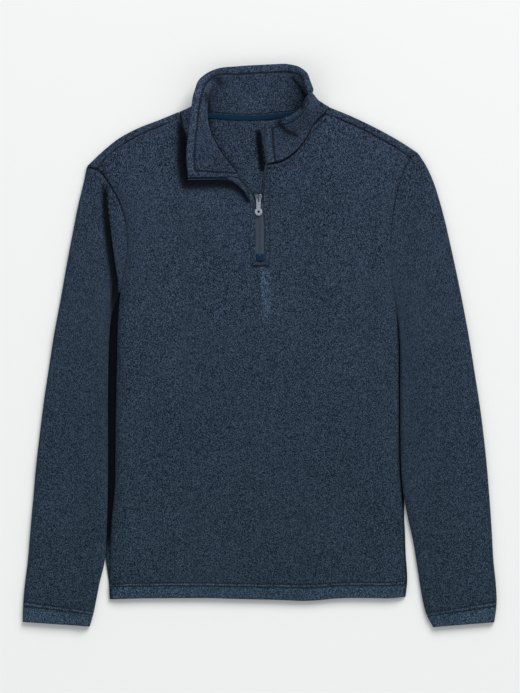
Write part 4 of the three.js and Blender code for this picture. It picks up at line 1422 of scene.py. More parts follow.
@dataclass
class Body:
    """The front and back panels."""

    pattern: Pattern
    knit: Material
    hem: TurnedHem = TurnedHem((18.6, 23.2), 9, 0.45, 1.2, 0.7)
    waves: Tuple[Ripple, ...] = (Ripple(0.7, 170, 3), Ripple(0.25, 52, 5))
    second_row: float = 6.4  # the neck seam's second row of stitches, from its edge
    wrap_shares: Tuple[float, ...] = (0.25, 0.5, 0.68, 0.82, 0.92, 1.0)
    wrap_rise: Tuple[float, ...] = (0.3, 0.5, 0.4, 0.0, -0.8, -2.0)
    wrap_puff: Tuple[float, ...] = (0.6, 1, 1, 0.8, 0.4, 0.1)
    cell: float = 3.8
    back_cell: float = 6.5
    lines: Dict[str, Array] = field(default_factory=dict)
    painted_shading: Dict[Side, Array] = field(default_factory=dict)

    def front_relief(self, grid: Array, rows: Array, columns: Array, side: Side, armhole: Array) -> Array:
        """The height of the front at each point: folds, hem, seams and soft unevenness; it also keeps the
        painted shade and highlights of each half.

        Args:
            grid: The fine points of one half.
            rows: How far each row is from the hem.
            columns: How far each column is from the side edge.
            side: Which half it is.
            armhole: For each row, 1 along the armhole and 0 below the underarm.

        Returns:
            The heights of the sheet's middle.
        """
        x, y = grid[..., 0], grid[..., 1]
        from_hem, from_side = rows[:, None], columns[None, :]
        from_top = rows[-1] - rows[:, None]
        side_part = 1 - armhole[:, None]
        from_zip = line_distance(grid, ZIP_LINE)
        swell = 2.0 * (1 - hump(from_side, 16)) + 2.4 * hump(from_side - 24, 17)
        swell = swell * (1 - hump(from_hem, 32)) * (1 - hump(from_top, 20)) * (1 - hump(from_zip, 32))
        z = upper_z(x, y) + swell
        curl = curl_at(from_side) * side_part
        z = z - (z - LOWEST_FRONT) * curl
        quiet = grow(from_side, 30) * grow(from_hem, 40, 0.25) * grow(from_zip, 30)
        for wave in self.waves:
            z = z + wave.at(x, y) * quiet
        ridge = zip_ridge(x, y)
        z = z + ridge
        pucker = 0.55 + 0.45 * np.sin(x * 2 * math.pi / 7.3 + 1.4 * np.sin(x / 19))
        # Painted highlight on the hem's band and on the ridge below the zip.
        painted_shading = -np.maximum(self.hem.wear_and_painted_highlight(from_hem), 0.5 * ridge / RIDGE)
        z, painted_shading = self.hem.stitch(z, painted_shading, from_hem, pucker)
        z = z + 0.3 * pucker * hump(from_hem - self.hem.rows[1] - 4, 4)
        seam = ARM_SEAM[side]
        z = z + dip(from_side, 1.7, 2.6) * armhole[:, None] * seam
        z = z + dip(from_top, 2.8, 2.8)
        fade = grow(y - 150, 50, 0.05) * seam
        # Painted shade along the armhole seam, and along the neck and shoulder seams.
        painted_shading = add_painted_shade(painted_shading, -dip(from_side, 1.0, 1.2) * armhole[:, None] * fade)
        painted_shading = add_painted_shade(painted_shading, -dip(from_top, 1.0, 1.7))
        if side is Side.LEFT:
            # The neck seam's second row: a groove with painted shade.
            second = -dip(from_top - self.second_row, 0.8, 1.0) * (x < 100)
            z = z - 0.7 * second
            painted_shading = add_painted_shade(painted_shading, second)
        # Painted shade along the side edge, where the cloth curls under.
        painted_shading = add_painted_shade(painted_shading, hump(from_side, 2.2) * side_part * 0.7)
        if side is Side.RIGHT:
            # Painted shadow of the lapel on the front.
            narrow = np.interp(x, [-40, -17], [9.0, 3.5])
            painted_shading = add_painted_shade(painted_shading, 0.95 * hump(line_distance(grid, LAPEL_SHADE), narrow, 4))
            from_roll = line_distance(grid, ROLLED_EDGE)
            z = z + 4.2 * hump(from_roll, 4.0)
            # Painted highlight on the rolled edge beside the zip opening.
            painted_shading = np.where(from_roll < 3.2, -0.35, painted_shading)
        self.painted_shading[side] = painted_shading
        return np.maximum(z, LOWEST_FRONT)

    def front(self) -> None:
        """Makes the front panel, split at the zip opening."""
        halves = self.pattern.fronts
        row_knots = (mean_knots(halves[Side.RIGHT]) + mean_knots(halves[Side.LEFT])) / 2
        split = float(row_knots[SPLIT_ROW - 1])
        total = float(row_knots[-1])
        fine_rows = [(0, 3, 1.0), (16, 26, 0.55), (split - 10, split + 4, 1.0), (total - 12, total, 0.8)]
        rows = spaced(total, self.cell, fine_rows)
        shared = int(np.searchsorted(rows, split + 1e-6))
        sheet, numbers, grids = Sheet(), {}, {}
        for side, coarse in halves.items():
            knots = mean_knots(turned(coarse))
            wide = float(knots[-1])
            fine_columns = [(0, 12, 1.0), (wide - 24, wide - 12, 1.6), (wide - 12, wide, 0.8)]
            columns = spaced(wide, self.cell, fine_columns)
            grid = refine(coarse, row_knots, rows, knots, columns)
            armhole = grow(rows - row_knots[ARM_ROW] + 14, 28)
            grid[..., 2] = self.front_relief(grid, rows, columns, side, armhole)
            grids[side] = (grid, columns)
        middle = (grids[Side.RIGHT][0][:shared, -1] + grids[Side.LEFT][0][:shared, -1]) / 2
        middle[:, 0] = ZIP_X
        for side in Side:
            grids[side][0][:shared, -1] = middle
        for side in Side:
            grid, columns = grids[side]
            self.topstitch(side, grid)
            weave = pairs(side.value * (columns[-1] - columns)[None, :], rows[:, None])
            numbers[side] = sheet.add(grid, weave, CLOTH / 2, self.painted_shading[side])
            self.keep_lines(side, grid, rows, columns, row_knots)
        numbers[Side.LEFT][:shared, -1] = numbers[Side.RIGHT][:shared, -1]
        sheet.join(numbers[Side.RIGHT])
        sheet.join(numbers[Side.LEFT][:, ::-1])
        obj = dress(sheet.mesh("front_cloth"), self.knit, ["front_panel"])

    def topstitch(self, side: Side, grid: Array) -> None:
        """Presses the stitches that run down both sides of the zip and under its end, and paints shade
        along them.

        Args:
            side: Which half of the front.
            grid: Its points, which are moved in place.
        """
        for row in ZIP_STITCHES:
            away = line_distance(grid, row.line)
            grid[..., 2] = np.maximum(grid[..., 2] + dip(away, row.depth, row.reach), LOWEST_FRONT)
            # Painted shade along the row of stitches.
            self.painted_shading[side] = add_painted_shade(self.painted_shading[side], -dip(away, row.tone, row.tone_reach))

    def keep_lines(self, side: Side, grid: Array, rows: Array, columns: Array, row_knots: Array) -> None:
        """Keeps the lines that stitches follow, on top of the cloth.

        Args:
            side: Which half of the front.
            grid: Its points.
            rows: How far each row is from the hem.
            columns: How far each column is from the side edge.
            row_knots: Where the levels stand.
        """
        lift = vec(0, 0, SKIN)
        lower, upper = self.hem.rows
        top = rows[-1]
        edges = {"edge_near": top - SEAM_STITCH_IN, "edge_far": top - self.second_row}
        for label, at in {"hem_lower": lower, "hem_upper": upper, **edges}.items():
            self.lines[f"{label}_{side.name}"] = line_at(grid, rows, at) + lift
        start = int(np.searchsorted(rows, row_knots[ARM_ROW]))
        self.lines[f"armhole_{side.name}"] = line_at(turned(grid), columns, SEAM_STITCH_IN)[start:] + lift

    def back(self) -> None:
        """Makes the back panel, with the cloth that folds over both shoulders."""
        coarse = self.pattern.back_grid()
        row_knots, column_knots = mean_knots(coarse), mean_knots(turned(coarse))
        total, wide = float(row_knots[-1]), float(column_knots[-1])
        shoulder = len(SHOULDER_STEPS)
        fine_rows = [(total - 160, total - 10, 3.0), (total - 10, total, 2.5), (0, 4, 2)]
        rows = spaced(total, self.back_cell, fine_rows)
        marks = [float(column_knots[shoulder - 1]), float(column_knots[-shoulder])]
        middle = (wide / 2 - 90, wide / 2 + 30, 1.7)
        columns = spaced(wide, self.back_cell, [(0, marks[0], 3.4), middle, (marks[1], wide, 3.4)])
        grid = refine(coarse, row_knots, rows, column_knots, columns)
        x, y = grid[..., 0], grid[..., 1]
        edge = np.minimum(columns, wide - columns)[None, :]
        under = np.sin(grow(y - 20, 70) * math.pi) ** 0.7
        grid[..., 0] += np.sign(x) * 6.5 * under * hump(edge, 10)
        inside = (np.abs(x) < 80) & (y > 150)
        grid[..., 2] = BACK_Z + np.where(inside, 0.25 + Ripple(0.2, 60, 8).at(x, y), 0)
        # Painted shade in the gap beside the sleeves, along the collar's roll and beside the standing
        # collar's end.
        outer = grow(np.abs(x) - 198, 5) * grow(y + 315, 30)
        below_roll = 0.85 * hump(line_distance(grid, ROLL_SHADE), 4.5)
        beside_collar = 0.97 * hump(line_distance(grid, COLLAR_SHADE), 5.0, 4)
        painted_shading = np.maximum(outer, np.maximum(below_roll, beside_collar))
        sheet = Sheet()
        numbers = sheet.add(grid, pairs(columns[None, :] - wide / 2, rows[:, None]), CLOTH / 2, painted_shading)
        sheet.join(numbers)
        right, left = (int(np.argmin(np.abs(columns - mark))) for mark in marks)
        tops = {
            Side.RIGHT: (numbers[-1, :right + 1], columns[:right + 1] / marks[0]),
            Side.LEFT: (numbers[-1, left:], (wide - columns[left:]) / (wide - marks[1])),
        }
        for side, (top, shares) in tops.items():
            self.shoulder_wrap(sheet, side, top, shares, columns[:len(shares)])
        obj = dress(sheet.mesh("back_cloth"), self.knit, ["back_panel"])

    def shoulder_wrap(self, sheet: Sheet, side: Side, top: Array, shares: Array, across: Array) -> None:
        """Adds the cloth over one shoulder, from the back's upper edge to the forward seam.

        Args:
            sheet: The back's sheet.
            side: Which shoulder.
            top: The numbers of the points on the back's upper edge.
            shares: How far along the shoulder each of them is, from its tip.
            across: Their places across the flat cloth.
        """
        _, sewn, inward = self.pattern.shoulders[side]
        rings = [self.pattern.over_shoulder(side, turn) for turn in np.linspace(0, 1, 9)[1:]]
        seam = sewn - inward * SEAM_GAP
        seam[:, 2] = FRONT_Z
        last = rings[-1]
        coarse = np.array(rings + [last + (seam - last) * share for share in self.wrap_shares])
        on_top = len(rings)
        coarse[on_top:, :, 2] += np.array(self.wrap_rise)[:, None]
        knots = mean_knots(turned(coarse))
        fine = turned(cubic(turned(coarse), knots, shares * knots[-1]))
        puff = Ripple(0.35, 55, 11 + side.value).at(fine[..., 0], fine[..., 1])
        fine[on_top:, :, 2] += puff[on_top:] * np.array(self.wrap_puff)[:, None]
        if side is Side.LEFT:
            onwards = unit(fine[:, 0] - fine[:, 1])
            fine[:, 0] += onwards * 4.0
            fine[:, 1] += onwards * 1.5
        down = lengths(fine[:, len(shares) // 2])
        # Painted shade along the forward shoulder seam.
        painted_shading = np.array([0.0] * (len(coarse) - 1) + [0.95])[:, None]
        numbers = sheet.add(fine, pairs(across[None, :], -down[:, None] - 3.0), CLOTH / 2, painted_shading)
        sheet.join(np.vstack([top[None, :], numbers]))
        self.lines[f"shoulder_{side.name}"] = fine[-3] + vec(0, 0, SKIN)

    def make(self) -> None:
        """Makes both panels."""
        self.back()
        self.front()


@dataclass
class Sleeve:
    """One sleeve, a flat tube from the armhole to the cuff."""

    pattern: Pattern
    knit: Material
    side: Side
    cuff: TurnedHem = TurnedHem((21.0, 26.5), 10, 0.6, 1.3, 0.6)
    cell: float = 4.4
    lines: List[Array] = field(default_factory=list)

    def rings(self) -> Array:
        """The coarse rings of the tube.

        Returns:
            By ring, the points of the upper layer, the inner fold, the lower layer and the outer fold.
        """
        rows = CUT[self.side].sleeve
        tip_under = self.pattern.over_shoulder(self.side, 0)[0]
        tip_over = self.pattern.over_shoulder(self.side, 1)[0]
        tip_inward = self.pattern.shoulders[self.side][2][0]
        arm_top = self.pattern.fronts[self.side][ARM_ROW:, 0][::-1].copy()
        arm_top[:, 2] = upper_z(arm_top[:, 0], arm_top[:, 1])
        arm_top[-1, 2] = LOWEST_FRONT
        bottom_edge = self.pattern.back_edge[self.side][ARM_ROW:-1].copy()
        bottom_edge[:, 2] = BACK_Z
        seams = (np.vstack([tip_over, arm_top]), np.vstack([tip_under, bottom_edge[::-1]]))
        inset = CLOTH / 2 + FOLD_RADIUS
        first = self.section(rows, 0.0, inset)
        made = []
        for down in SLEEVE_STEPS:
            outer, inner, over = self.section(rows, float(down), inset)
            near = max(1 - down / SLEEVE_STEPS[2], 0.0)
            fade = (1 - down) ** 7
            layers = []
            for index, seam in enumerate(seams):
                across = (lengths(seam) / lengths(seam)[-1])[:, None]
                bend = seam * (1, 1, 0) - (first[0] * (1 - across) + first[1] * across)
                place = outer * (1 - across) + inner * across + bend * fade
                flat = upper_z(place[:, 0], place[:, 1])
                at_seam = seam[:, 2] - upper_z(seam[:, 0], seam[:, 1])
                place[:, 2] = flat + at_seam * near if index == 0 else BACK_Z
                layers.append(place)
            top, bottom = layers
            outwards = unit(-over * (1 - fade) - tip_inward * fade)
            inner_fold = self.fold(top[-1], bottom[-1], over * (1 - fade))
            outer_fold = self.fold(bottom[0], top[0], outwards)
            made.append(np.vstack([top, inner_fold, bottom[::-1], outer_fold]))
        rings = np.array(made)
        self.set_back(rings, len(seams[0]), len(seams[1]), tip_inward)
        return rings

    @staticmethod
    def section(rows: Table, down: float, inset: float) -> Tuple[Array, Array, Array]:
        """One section of the sleeve.

        Args:
            rows: The sleeve's table.
            down: How far down the sleeve, from 0 to 1.
            inset: How far each end of the flat layers is from the fold's outside.

        Returns:
            Its outer and inner ends, and the way from one to the other.
        """
        outer, inner = (
            vec(*(float(smooth(rows, "down", f"{edge}{axis}", down)) for axis in "XY"))
            for edge in ("outer", "inner")
        )
        over = unit(inner - outer)
        return outer + over * inset, inner - over * inset, over

    @staticmethod
    def fold(start: Array, end: Array, outwards: Array) -> Array:
        """The points of a fold between two layers.

        Args:
            start: Where the fold leaves one layer.
            end: Where it meets the other.
            outwards: The way that it bulges.

        Returns:
            The points between the two.
        """
        points = []
        for turn in FOLD_STEPS[1:-1]:
            reach = abs(start[2] - end[2]) / 2 * math.sin(math.pi * turn)
            point = start * (1 - turn) + end * turn + outwards * reach
            point[2] = start[2] + (end[2] - start[2]) * (1 - math.cos(math.pi * turn)) / 2
            points.append(point)
        return np.array(points)

    @staticmethod
    def set_back(rings: Array, top: int, bottom: int, tip_inward: Array) -> None:
        """Moves the first ring off the armhole by the width of the seam, in place.

        Args:
            rings: The coarse rings.
            top: How many points of a ring are on the upper layer.
            bottom: How many are on the lower layer.
            tip_inward: The way in from the shoulder's tip.
        """
        ring, following = rings[0].copy(), rings[1]
        sideways = vec(math.copysign(1.7, ring[0, 0]), 0)
        lower = top + len(FOLD_STEPS) - 2
        upper = lower + bottom
        for i in range(len(ring)):
            if top - 1 <= i <= lower:
                away = sideways
            else:
                first, last = (0, top - 1) if i < top else (lower, upper - 1)
                way = tip_inward if i >= upper else ring[min(i + 1, last)] - ring[max(i - 1, first)]
                way = unit(way * (1, 1, 0))
                away = vec(-way[1], way[0])
                if away @ (following[i] - ring[i]) < 0:
                    away = -away
            rings[0, i] += away * SEAM_GAP * 2

    def make(self) -> None:
        """Makes the sleeve with its armhole seam and turned cuff."""
        coarse = self.rings()
        name = f"sleeve_{self.side.name.lower()}"
        row_knots = mean_knots(coarse)
        total = float(row_knots[-1])
        low, high = self.cuff.rows
        crease = 1.7 if self.side is Side.RIGHT else self.cell
        fine_rows = [
            (0, 12, 1.0),
            (12, 84, crease),
            (total - high - 3, total - low + 3, 0.5),
            (total - 3, total, 1),
        ]
        rows = spaced(total, self.cell, fine_rows)
        grid = cubic(coarse, row_knots, rows)
        around = np.concatenate([grid[:, -3:], grid, grid[:, :4]], axis=1)
        knots = mean_knots(turned(around))
        first, last = knots[3], knots[3 + grid.shape[1]]
        marks = [knots[3 + k] - first for k in range(grid.shape[1] + 1)]
        top_end = marks[self.top_count() - 1]
        ring = last - first
        over_top = [(top_end - 46, top_end - 8, 1.7), (top_end - 8, top_end + 12, 1.2)]
        columns = spaced(ring, self.cell, [*over_top, (ring - 10, ring, 1.4)])
        fine = turned(cubic(turned(around), knots, columns[:-1] + first))
        closed = np.concatenate([fine, fine[:, :1]], axis=1)
        normals = grid_normals(closed) * self.side.value
        normals[:, 0] = normals[:, -1] = unit(normals[:, 0] + normals[:, -1])
        painted_shading = self.relief(closed, normals, rows, total, np.clip(columns / top_end, 0, 1))
        closed[..., 2] = np.maximum(closed[..., 2], CLOTH / 2)
        outside = closed + normals * SKIN
        self.lines = [line_at(outside, rows, total - row) for row in self.cuff.rows]
        sheet = Sheet()
        weave = pairs(up_rows(closed), rows[:, None])
        numbers = sheet.add(closed[:, :-1], weave[:, :-1], CLOTH / 2, painted_shading[:, :-1])
        sheet.join(np.concatenate([numbers, numbers[:, :1]], axis=1), self.side is Side.RIGHT)
        obj = dress(sheet.mesh(f"{name}_cloth"), self.knit, [name])

    def top_count(self) -> int:
        """How many points of a coarse ring are on the upper layer."""
        return 1 + len(self.pattern.fronts[self.side]) - ARM_ROW

    def relief(self, points: Array, normals: Array, rows: Array, total: float, across: Array) -> Array:
        """Presses the seams in and lets the upper layer swell a little, in place, and works out the painted
        shade and highlights.

        Args:
            points: The fine rings.
            normals: The way out of the cloth at each point.
            rows: How far each ring is from the armhole.
            total: How far the cuff is from it.
            across: How far over the upper layer each column stands, 0 or 1 where it is past it.

        Returns:
            The painted shade of seams and creases at each point, below 0 the painted highlight of the
            cuff's band.
        """
        x, y = points[..., 0], points[..., 1]
        upper = np.clip(normals[..., 2], 0, 1)
        from_arm, from_cuff = rows[:, None], total - rows[:, None]
        turn = lengths(points[len(rows) - 4])[None, :]
        pucker = 0.55 + 0.45 * np.sin(turn * 2 * math.pi / 6.8)
        crown = np.maximum(4 * across * (1 - across), 0) ** 0.7
        height = 3.4 * crown[None, :] * grow(from_arm, 45) * grow(from_cuff, 70, 0.12)
        seam = ARM_SEAM[self.side]
        height = height + dip(from_arm, 1.7, 2.6) * seam
        # Painted highlight on the cuff's band, and painted shade along the armhole seam.
        painted_shading = np.broadcast_to(-self.cuff.wear_and_painted_highlight(from_cuff), x.shape)
        painted_shading = add_painted_shade(painted_shading, -dip(from_arm, 1.0, 1.2) * grow(y - 150, 50, 0.05) * seam)
        height, painted_shading = self.cuff.stitch(height, painted_shading, from_cuff, pucker)
        quiet = grow(from_arm, 40) * grow(from_cuff, 50, 0.2)
        seed = 21 + self.side.value
        height = height + quiet * (Ripple(0.9, 120, seed).at(x, y) + Ripple(0.35, 45, seed + 4).at(x, y))
        if self.side is Side.RIGHT:
            depth, inside = arm_crease(x, y)
            height = height - depth
            # Painted shade in the crease where the sleeve turns under beside the body.
            painted_shading = add_painted_shade(painted_shading, inside * 0.97)
        points += normals * (height * upper)[..., None]
        floor = np.where(upper > 0.3, LOWEST_FRONT, CLOTH / 2)
        points[..., 2] = np.maximum(points[..., 2], floor)
        return painted_shading * (upper > 0.02)


@dataclass
class Collar:
    """The stand-up collar: folded over at the wearer's right, standing at the left."""

    pattern: Pattern
    knit: Material
    stitch_in: float = 12.0
    lapel_stitch_in: float = 8.0
    cell: float = 2.2
    lines: List[Array] = field(default_factory=list)
    sections: Optional[Array] = None

    @staticmethod
    def stretch(data: Table, up: float) -> List[NeckPoint]:
        """The stretch of the neck edge that a table gives.

        Args:
            data: The table.
            up: 1 where the cloth's outer side faces up, on the front, and -1 on the back.

        Returns:
            Its points.
        """
        made = []
        for values in zip(*data.values()):
            row = dict(zip(data, map(float, values)))
            x, y = row["baseX"], row["baseY"]
            z = float(upper_z(np.array(x), np.array(y))) if up > 0 else BACK_Z
            made.append((vec(x, y, z), vec(0, 0, up), row))
        return made

    def neck_ring(self) -> List[NeckPoint]:
        """The neck edge of the body as one ring, from the wearer's right end of the zip to the left."""
        right = self.stretch(RIGHT_COLLAR, 1) + self.wrap(Side.RIGHT)[::-1]
        return right + self.stretch(BACK_COLLAR, -1) + self.wrap(Side.LEFT) + self.stretch(LEFT_COLLAR, 1)

    def wrap(self, side: Side) -> List[NeckPoint]:
        """The stretch of the neck edge that goes round the shoulder's fold.

        Args:
            side: Which shoulder.

        Returns:
            Its points, which have no row of a table.
        """
        inward = self.pattern.shoulders[side][2][-1]
        points = []
        for turn in FOLD_STEPS:
            angle = math.pi * turn
            outside = -inward * math.sin(angle)
            outside[2] = -math.cos(angle)
            points.append((self.pattern.over_shoulder(side, float(turn))[-1], outside, None))
        return points

    def coarse(self) -> Array:
        """The collar's sections.

        Returns:
            By section, a row of points from its seam to its free edge.
        """
        ring = self.neck_ring()
        places = np.array([point for point, _, _ in ring])
        where = lengths(places)
        known = [i for i, (_, _, row) in enumerate(ring) if row]
        sections = []
        for i, (point, outside, row) in enumerate(ring):
            after = next(k for k in known if where[k] >= where[i])
            before = known[max(known.index(after) - 1, 0)]
            t = 1.0 if row else (where[i] - where[before]) / (where[after] - where[before])
            a, b = ring[before][2], ring[after][2]
            value = {key: a[key] * (1 - t) + b[key] * t for key in a}
            way = places[min(i + 1, len(ring) - 1)] - places[max(i - 1, 0)]
            base = point + unit(np.cross(way, outside)) * value["out"]
            base[2] += value["up"]
            roll, edge = (vec(*(value[f"{place}{axis}"] for axis in "XYZ")) for place in ("roll", "edge"))
            sections.append([self.point(base, roll, edge, float(step)) for step in COLLAR_STEPS])
        made = np.array(sections)
        away = np.linalg.norm(made[:, 0, :2] - FLARE_PLACE, axis=1)
        made += (hump(away, 14)[:, None] * FLARE_STEPS)[..., None] * FLARE
        return made

    @staticmethod
    def point(base: Array, roll: Array, edge: Array, step: float) -> Array:
        """A point of one section, on a smooth curve from its seam over the roll to its edge.

        Args:
            base: The point at the seam.
            roll: The point where the collar rolls over.
            edge: The point at the free edge.
            step: How far along the curve, from 0 to 1.

        Returns:
            The point.
        """
        lean = (edge - base) * 0.5
        first = step <= 0.5
        start, end = (base, roll) if first else (roll, edge)
        t = step * 2 if first else step * 2 - 1
        free = (end - start) * 1.5 - lean * 0.5
        leave, arrive = (free, lean) if first else (lean, free)
        h = t * t * (3 - 2 * t)
        return start * (1 - h) + end * h + leave * t * (1 - t) ** 2 - arrive * t * t * (1 - t)

    def make(self) -> None:
        """Makes the collar with its topstitched edge."""
        coarse = self.coarse()
        self.sections = coarse
        row_knots, column_knots = mean_knots(coarse), mean_knots(turned(coarse))
        total, wide = float(row_knots[-1]), float(column_knots[-1])
        inside = self.stitch_in
        rows = spaced(total, self.cell, [(0, inside + 3, 0.7), (total - inside - 3, total, 0.7)])
        columns = spaced(wide, self.cell, [(0, 4, 0.8), (wide - 20, wide, 0.65)])
        grid = refine(coarse, row_knots, rows, column_knots, columns)
        normals = grid_normals(grid)
        up_cloth = up_rows(grid)
        from_edge = up_cloth[:, -1:] - up_cloth
        from_end = np.minimum(rows + self.stitch_in - self.lapel_stitch_in, total - rows)[:, None]
        from_line = np.abs(np.minimum(from_edge, from_end) - inside)
        x, y, z = grid[..., 0], grid[..., 1], grid[..., 2]
        from_seam = columns[None, :]
        waves = Ripple(0.5, 60, 31).at(x + z, y) + Ripple(0.2, 24, 33).at(x, y + z)
        grid = grid + normals * (grow(from_seam, 20) * waves)[..., None]
        rim = np.minimum(from_edge, np.minimum(rows, total - rows)[:, None])
        wall = COLLAR_CLOTH / 2 + 0.5 * hump(rim - 5.5, 5) + dip(from_line, 0.7, 1.1)
        wall = wall - 0.6 * hump(rim, 1.4)
        wall = np.minimum(wall, COLLAR_CLOTH / 2 + 0.5 * grow(from_seam, 6))
        # Painted shade along the topstitch and the neck seam.
        painted_shading = np.maximum(-dip(from_line, 0.9, 1.15), hump(from_seam, 1.6) * 0.8)
        # Each crease is pressed in and gets painted shade.
        for crease in COLLAR_CREASES:
            shape = hump(line_distance(grid, np.array(crease.line)), crease.reach)
            grid = grid - normals * (0.8 * crease.depth * shape)[..., None]
            painted_shading = np.maximum(painted_shading, crease.depth * shape)
        # Painted highlight on the rim, and a faint one over the rest of the collar.
        painted_shading = np.where(painted_shading < 0.06, -0.3 * hump(rim - 5, 5) - 0.12, painted_shading)
        sheet = Sheet()
        weave = pairs(rows[:, None], 900 - from_edge)
        numbers = sheet.add(grid, weave, wall, painted_shading)
        sheet.join(numbers)
        self.keep_lines(grid, normals, wall, rows, from_edge)
        obj = dress(sheet.mesh("collar_cloth"), self.knit, ["collar"])

    def keep_lines(self, grid: Array, normals: Array, wall: Array, rows: Array, from_edge: Array) -> None:
        """Keeps the topstitch's line on both faces of the collar.

        Args:
            grid: The fine points of the collar's middle.
            normals: The way out of the cloth at each point.
            wall: Half the wall at each point.
            rows: How far each row is from the lapel's end.
            from_edge: How far each point is from the free edge, along the cloth.
        """
        total = float(rows[-1])
        ends = (self.lapel_stitch_in, total - self.stitch_in)
        first, last = (int(np.searchsorted(rows, end)) for end in ends)
        for face in (1, -1):
            skin = grid + normals * (wall[..., None] + 0.02) * face
            edge = [
                [np.interp(self.stitch_in, away[::-1], row[::-1, k]) for k in range(3)]
                for row, away in zip(skin[first:last + 1], from_edge[first:last + 1])
            ]
            self.lines.append(np.array(edge))
            for end, row in zip(ends, (first, last)):
                stop = int((from_edge[row] > self.stitch_in).sum())
                self.lines.append(line_at(skin, rows, end)[3:stop])


@dataclass(frozen=True)
class TapeCut:
    """One strip of tape: its piece, the solid that it stands for, and its flat size and area in metres,
    which are not used.
    """

    piece: str
    node: str
    flat: Tuple[float, float]
    area: float


RIGHT_TAPE = TapeCut("zip_tape_right_cloth", "zip_tape_right", (0.011, 0.135), 0.00145)
LAPEL_TAPE = TapeCut("zip_tape_lapel_cloth", "zip_tape_right_lapel", (0.0115, 0.055), 0.00062)
LEFT_TAPE = TapeCut("zip_tape_left_cloth", "zip_tape_left", (0.0105, 0.235), 0.00206)


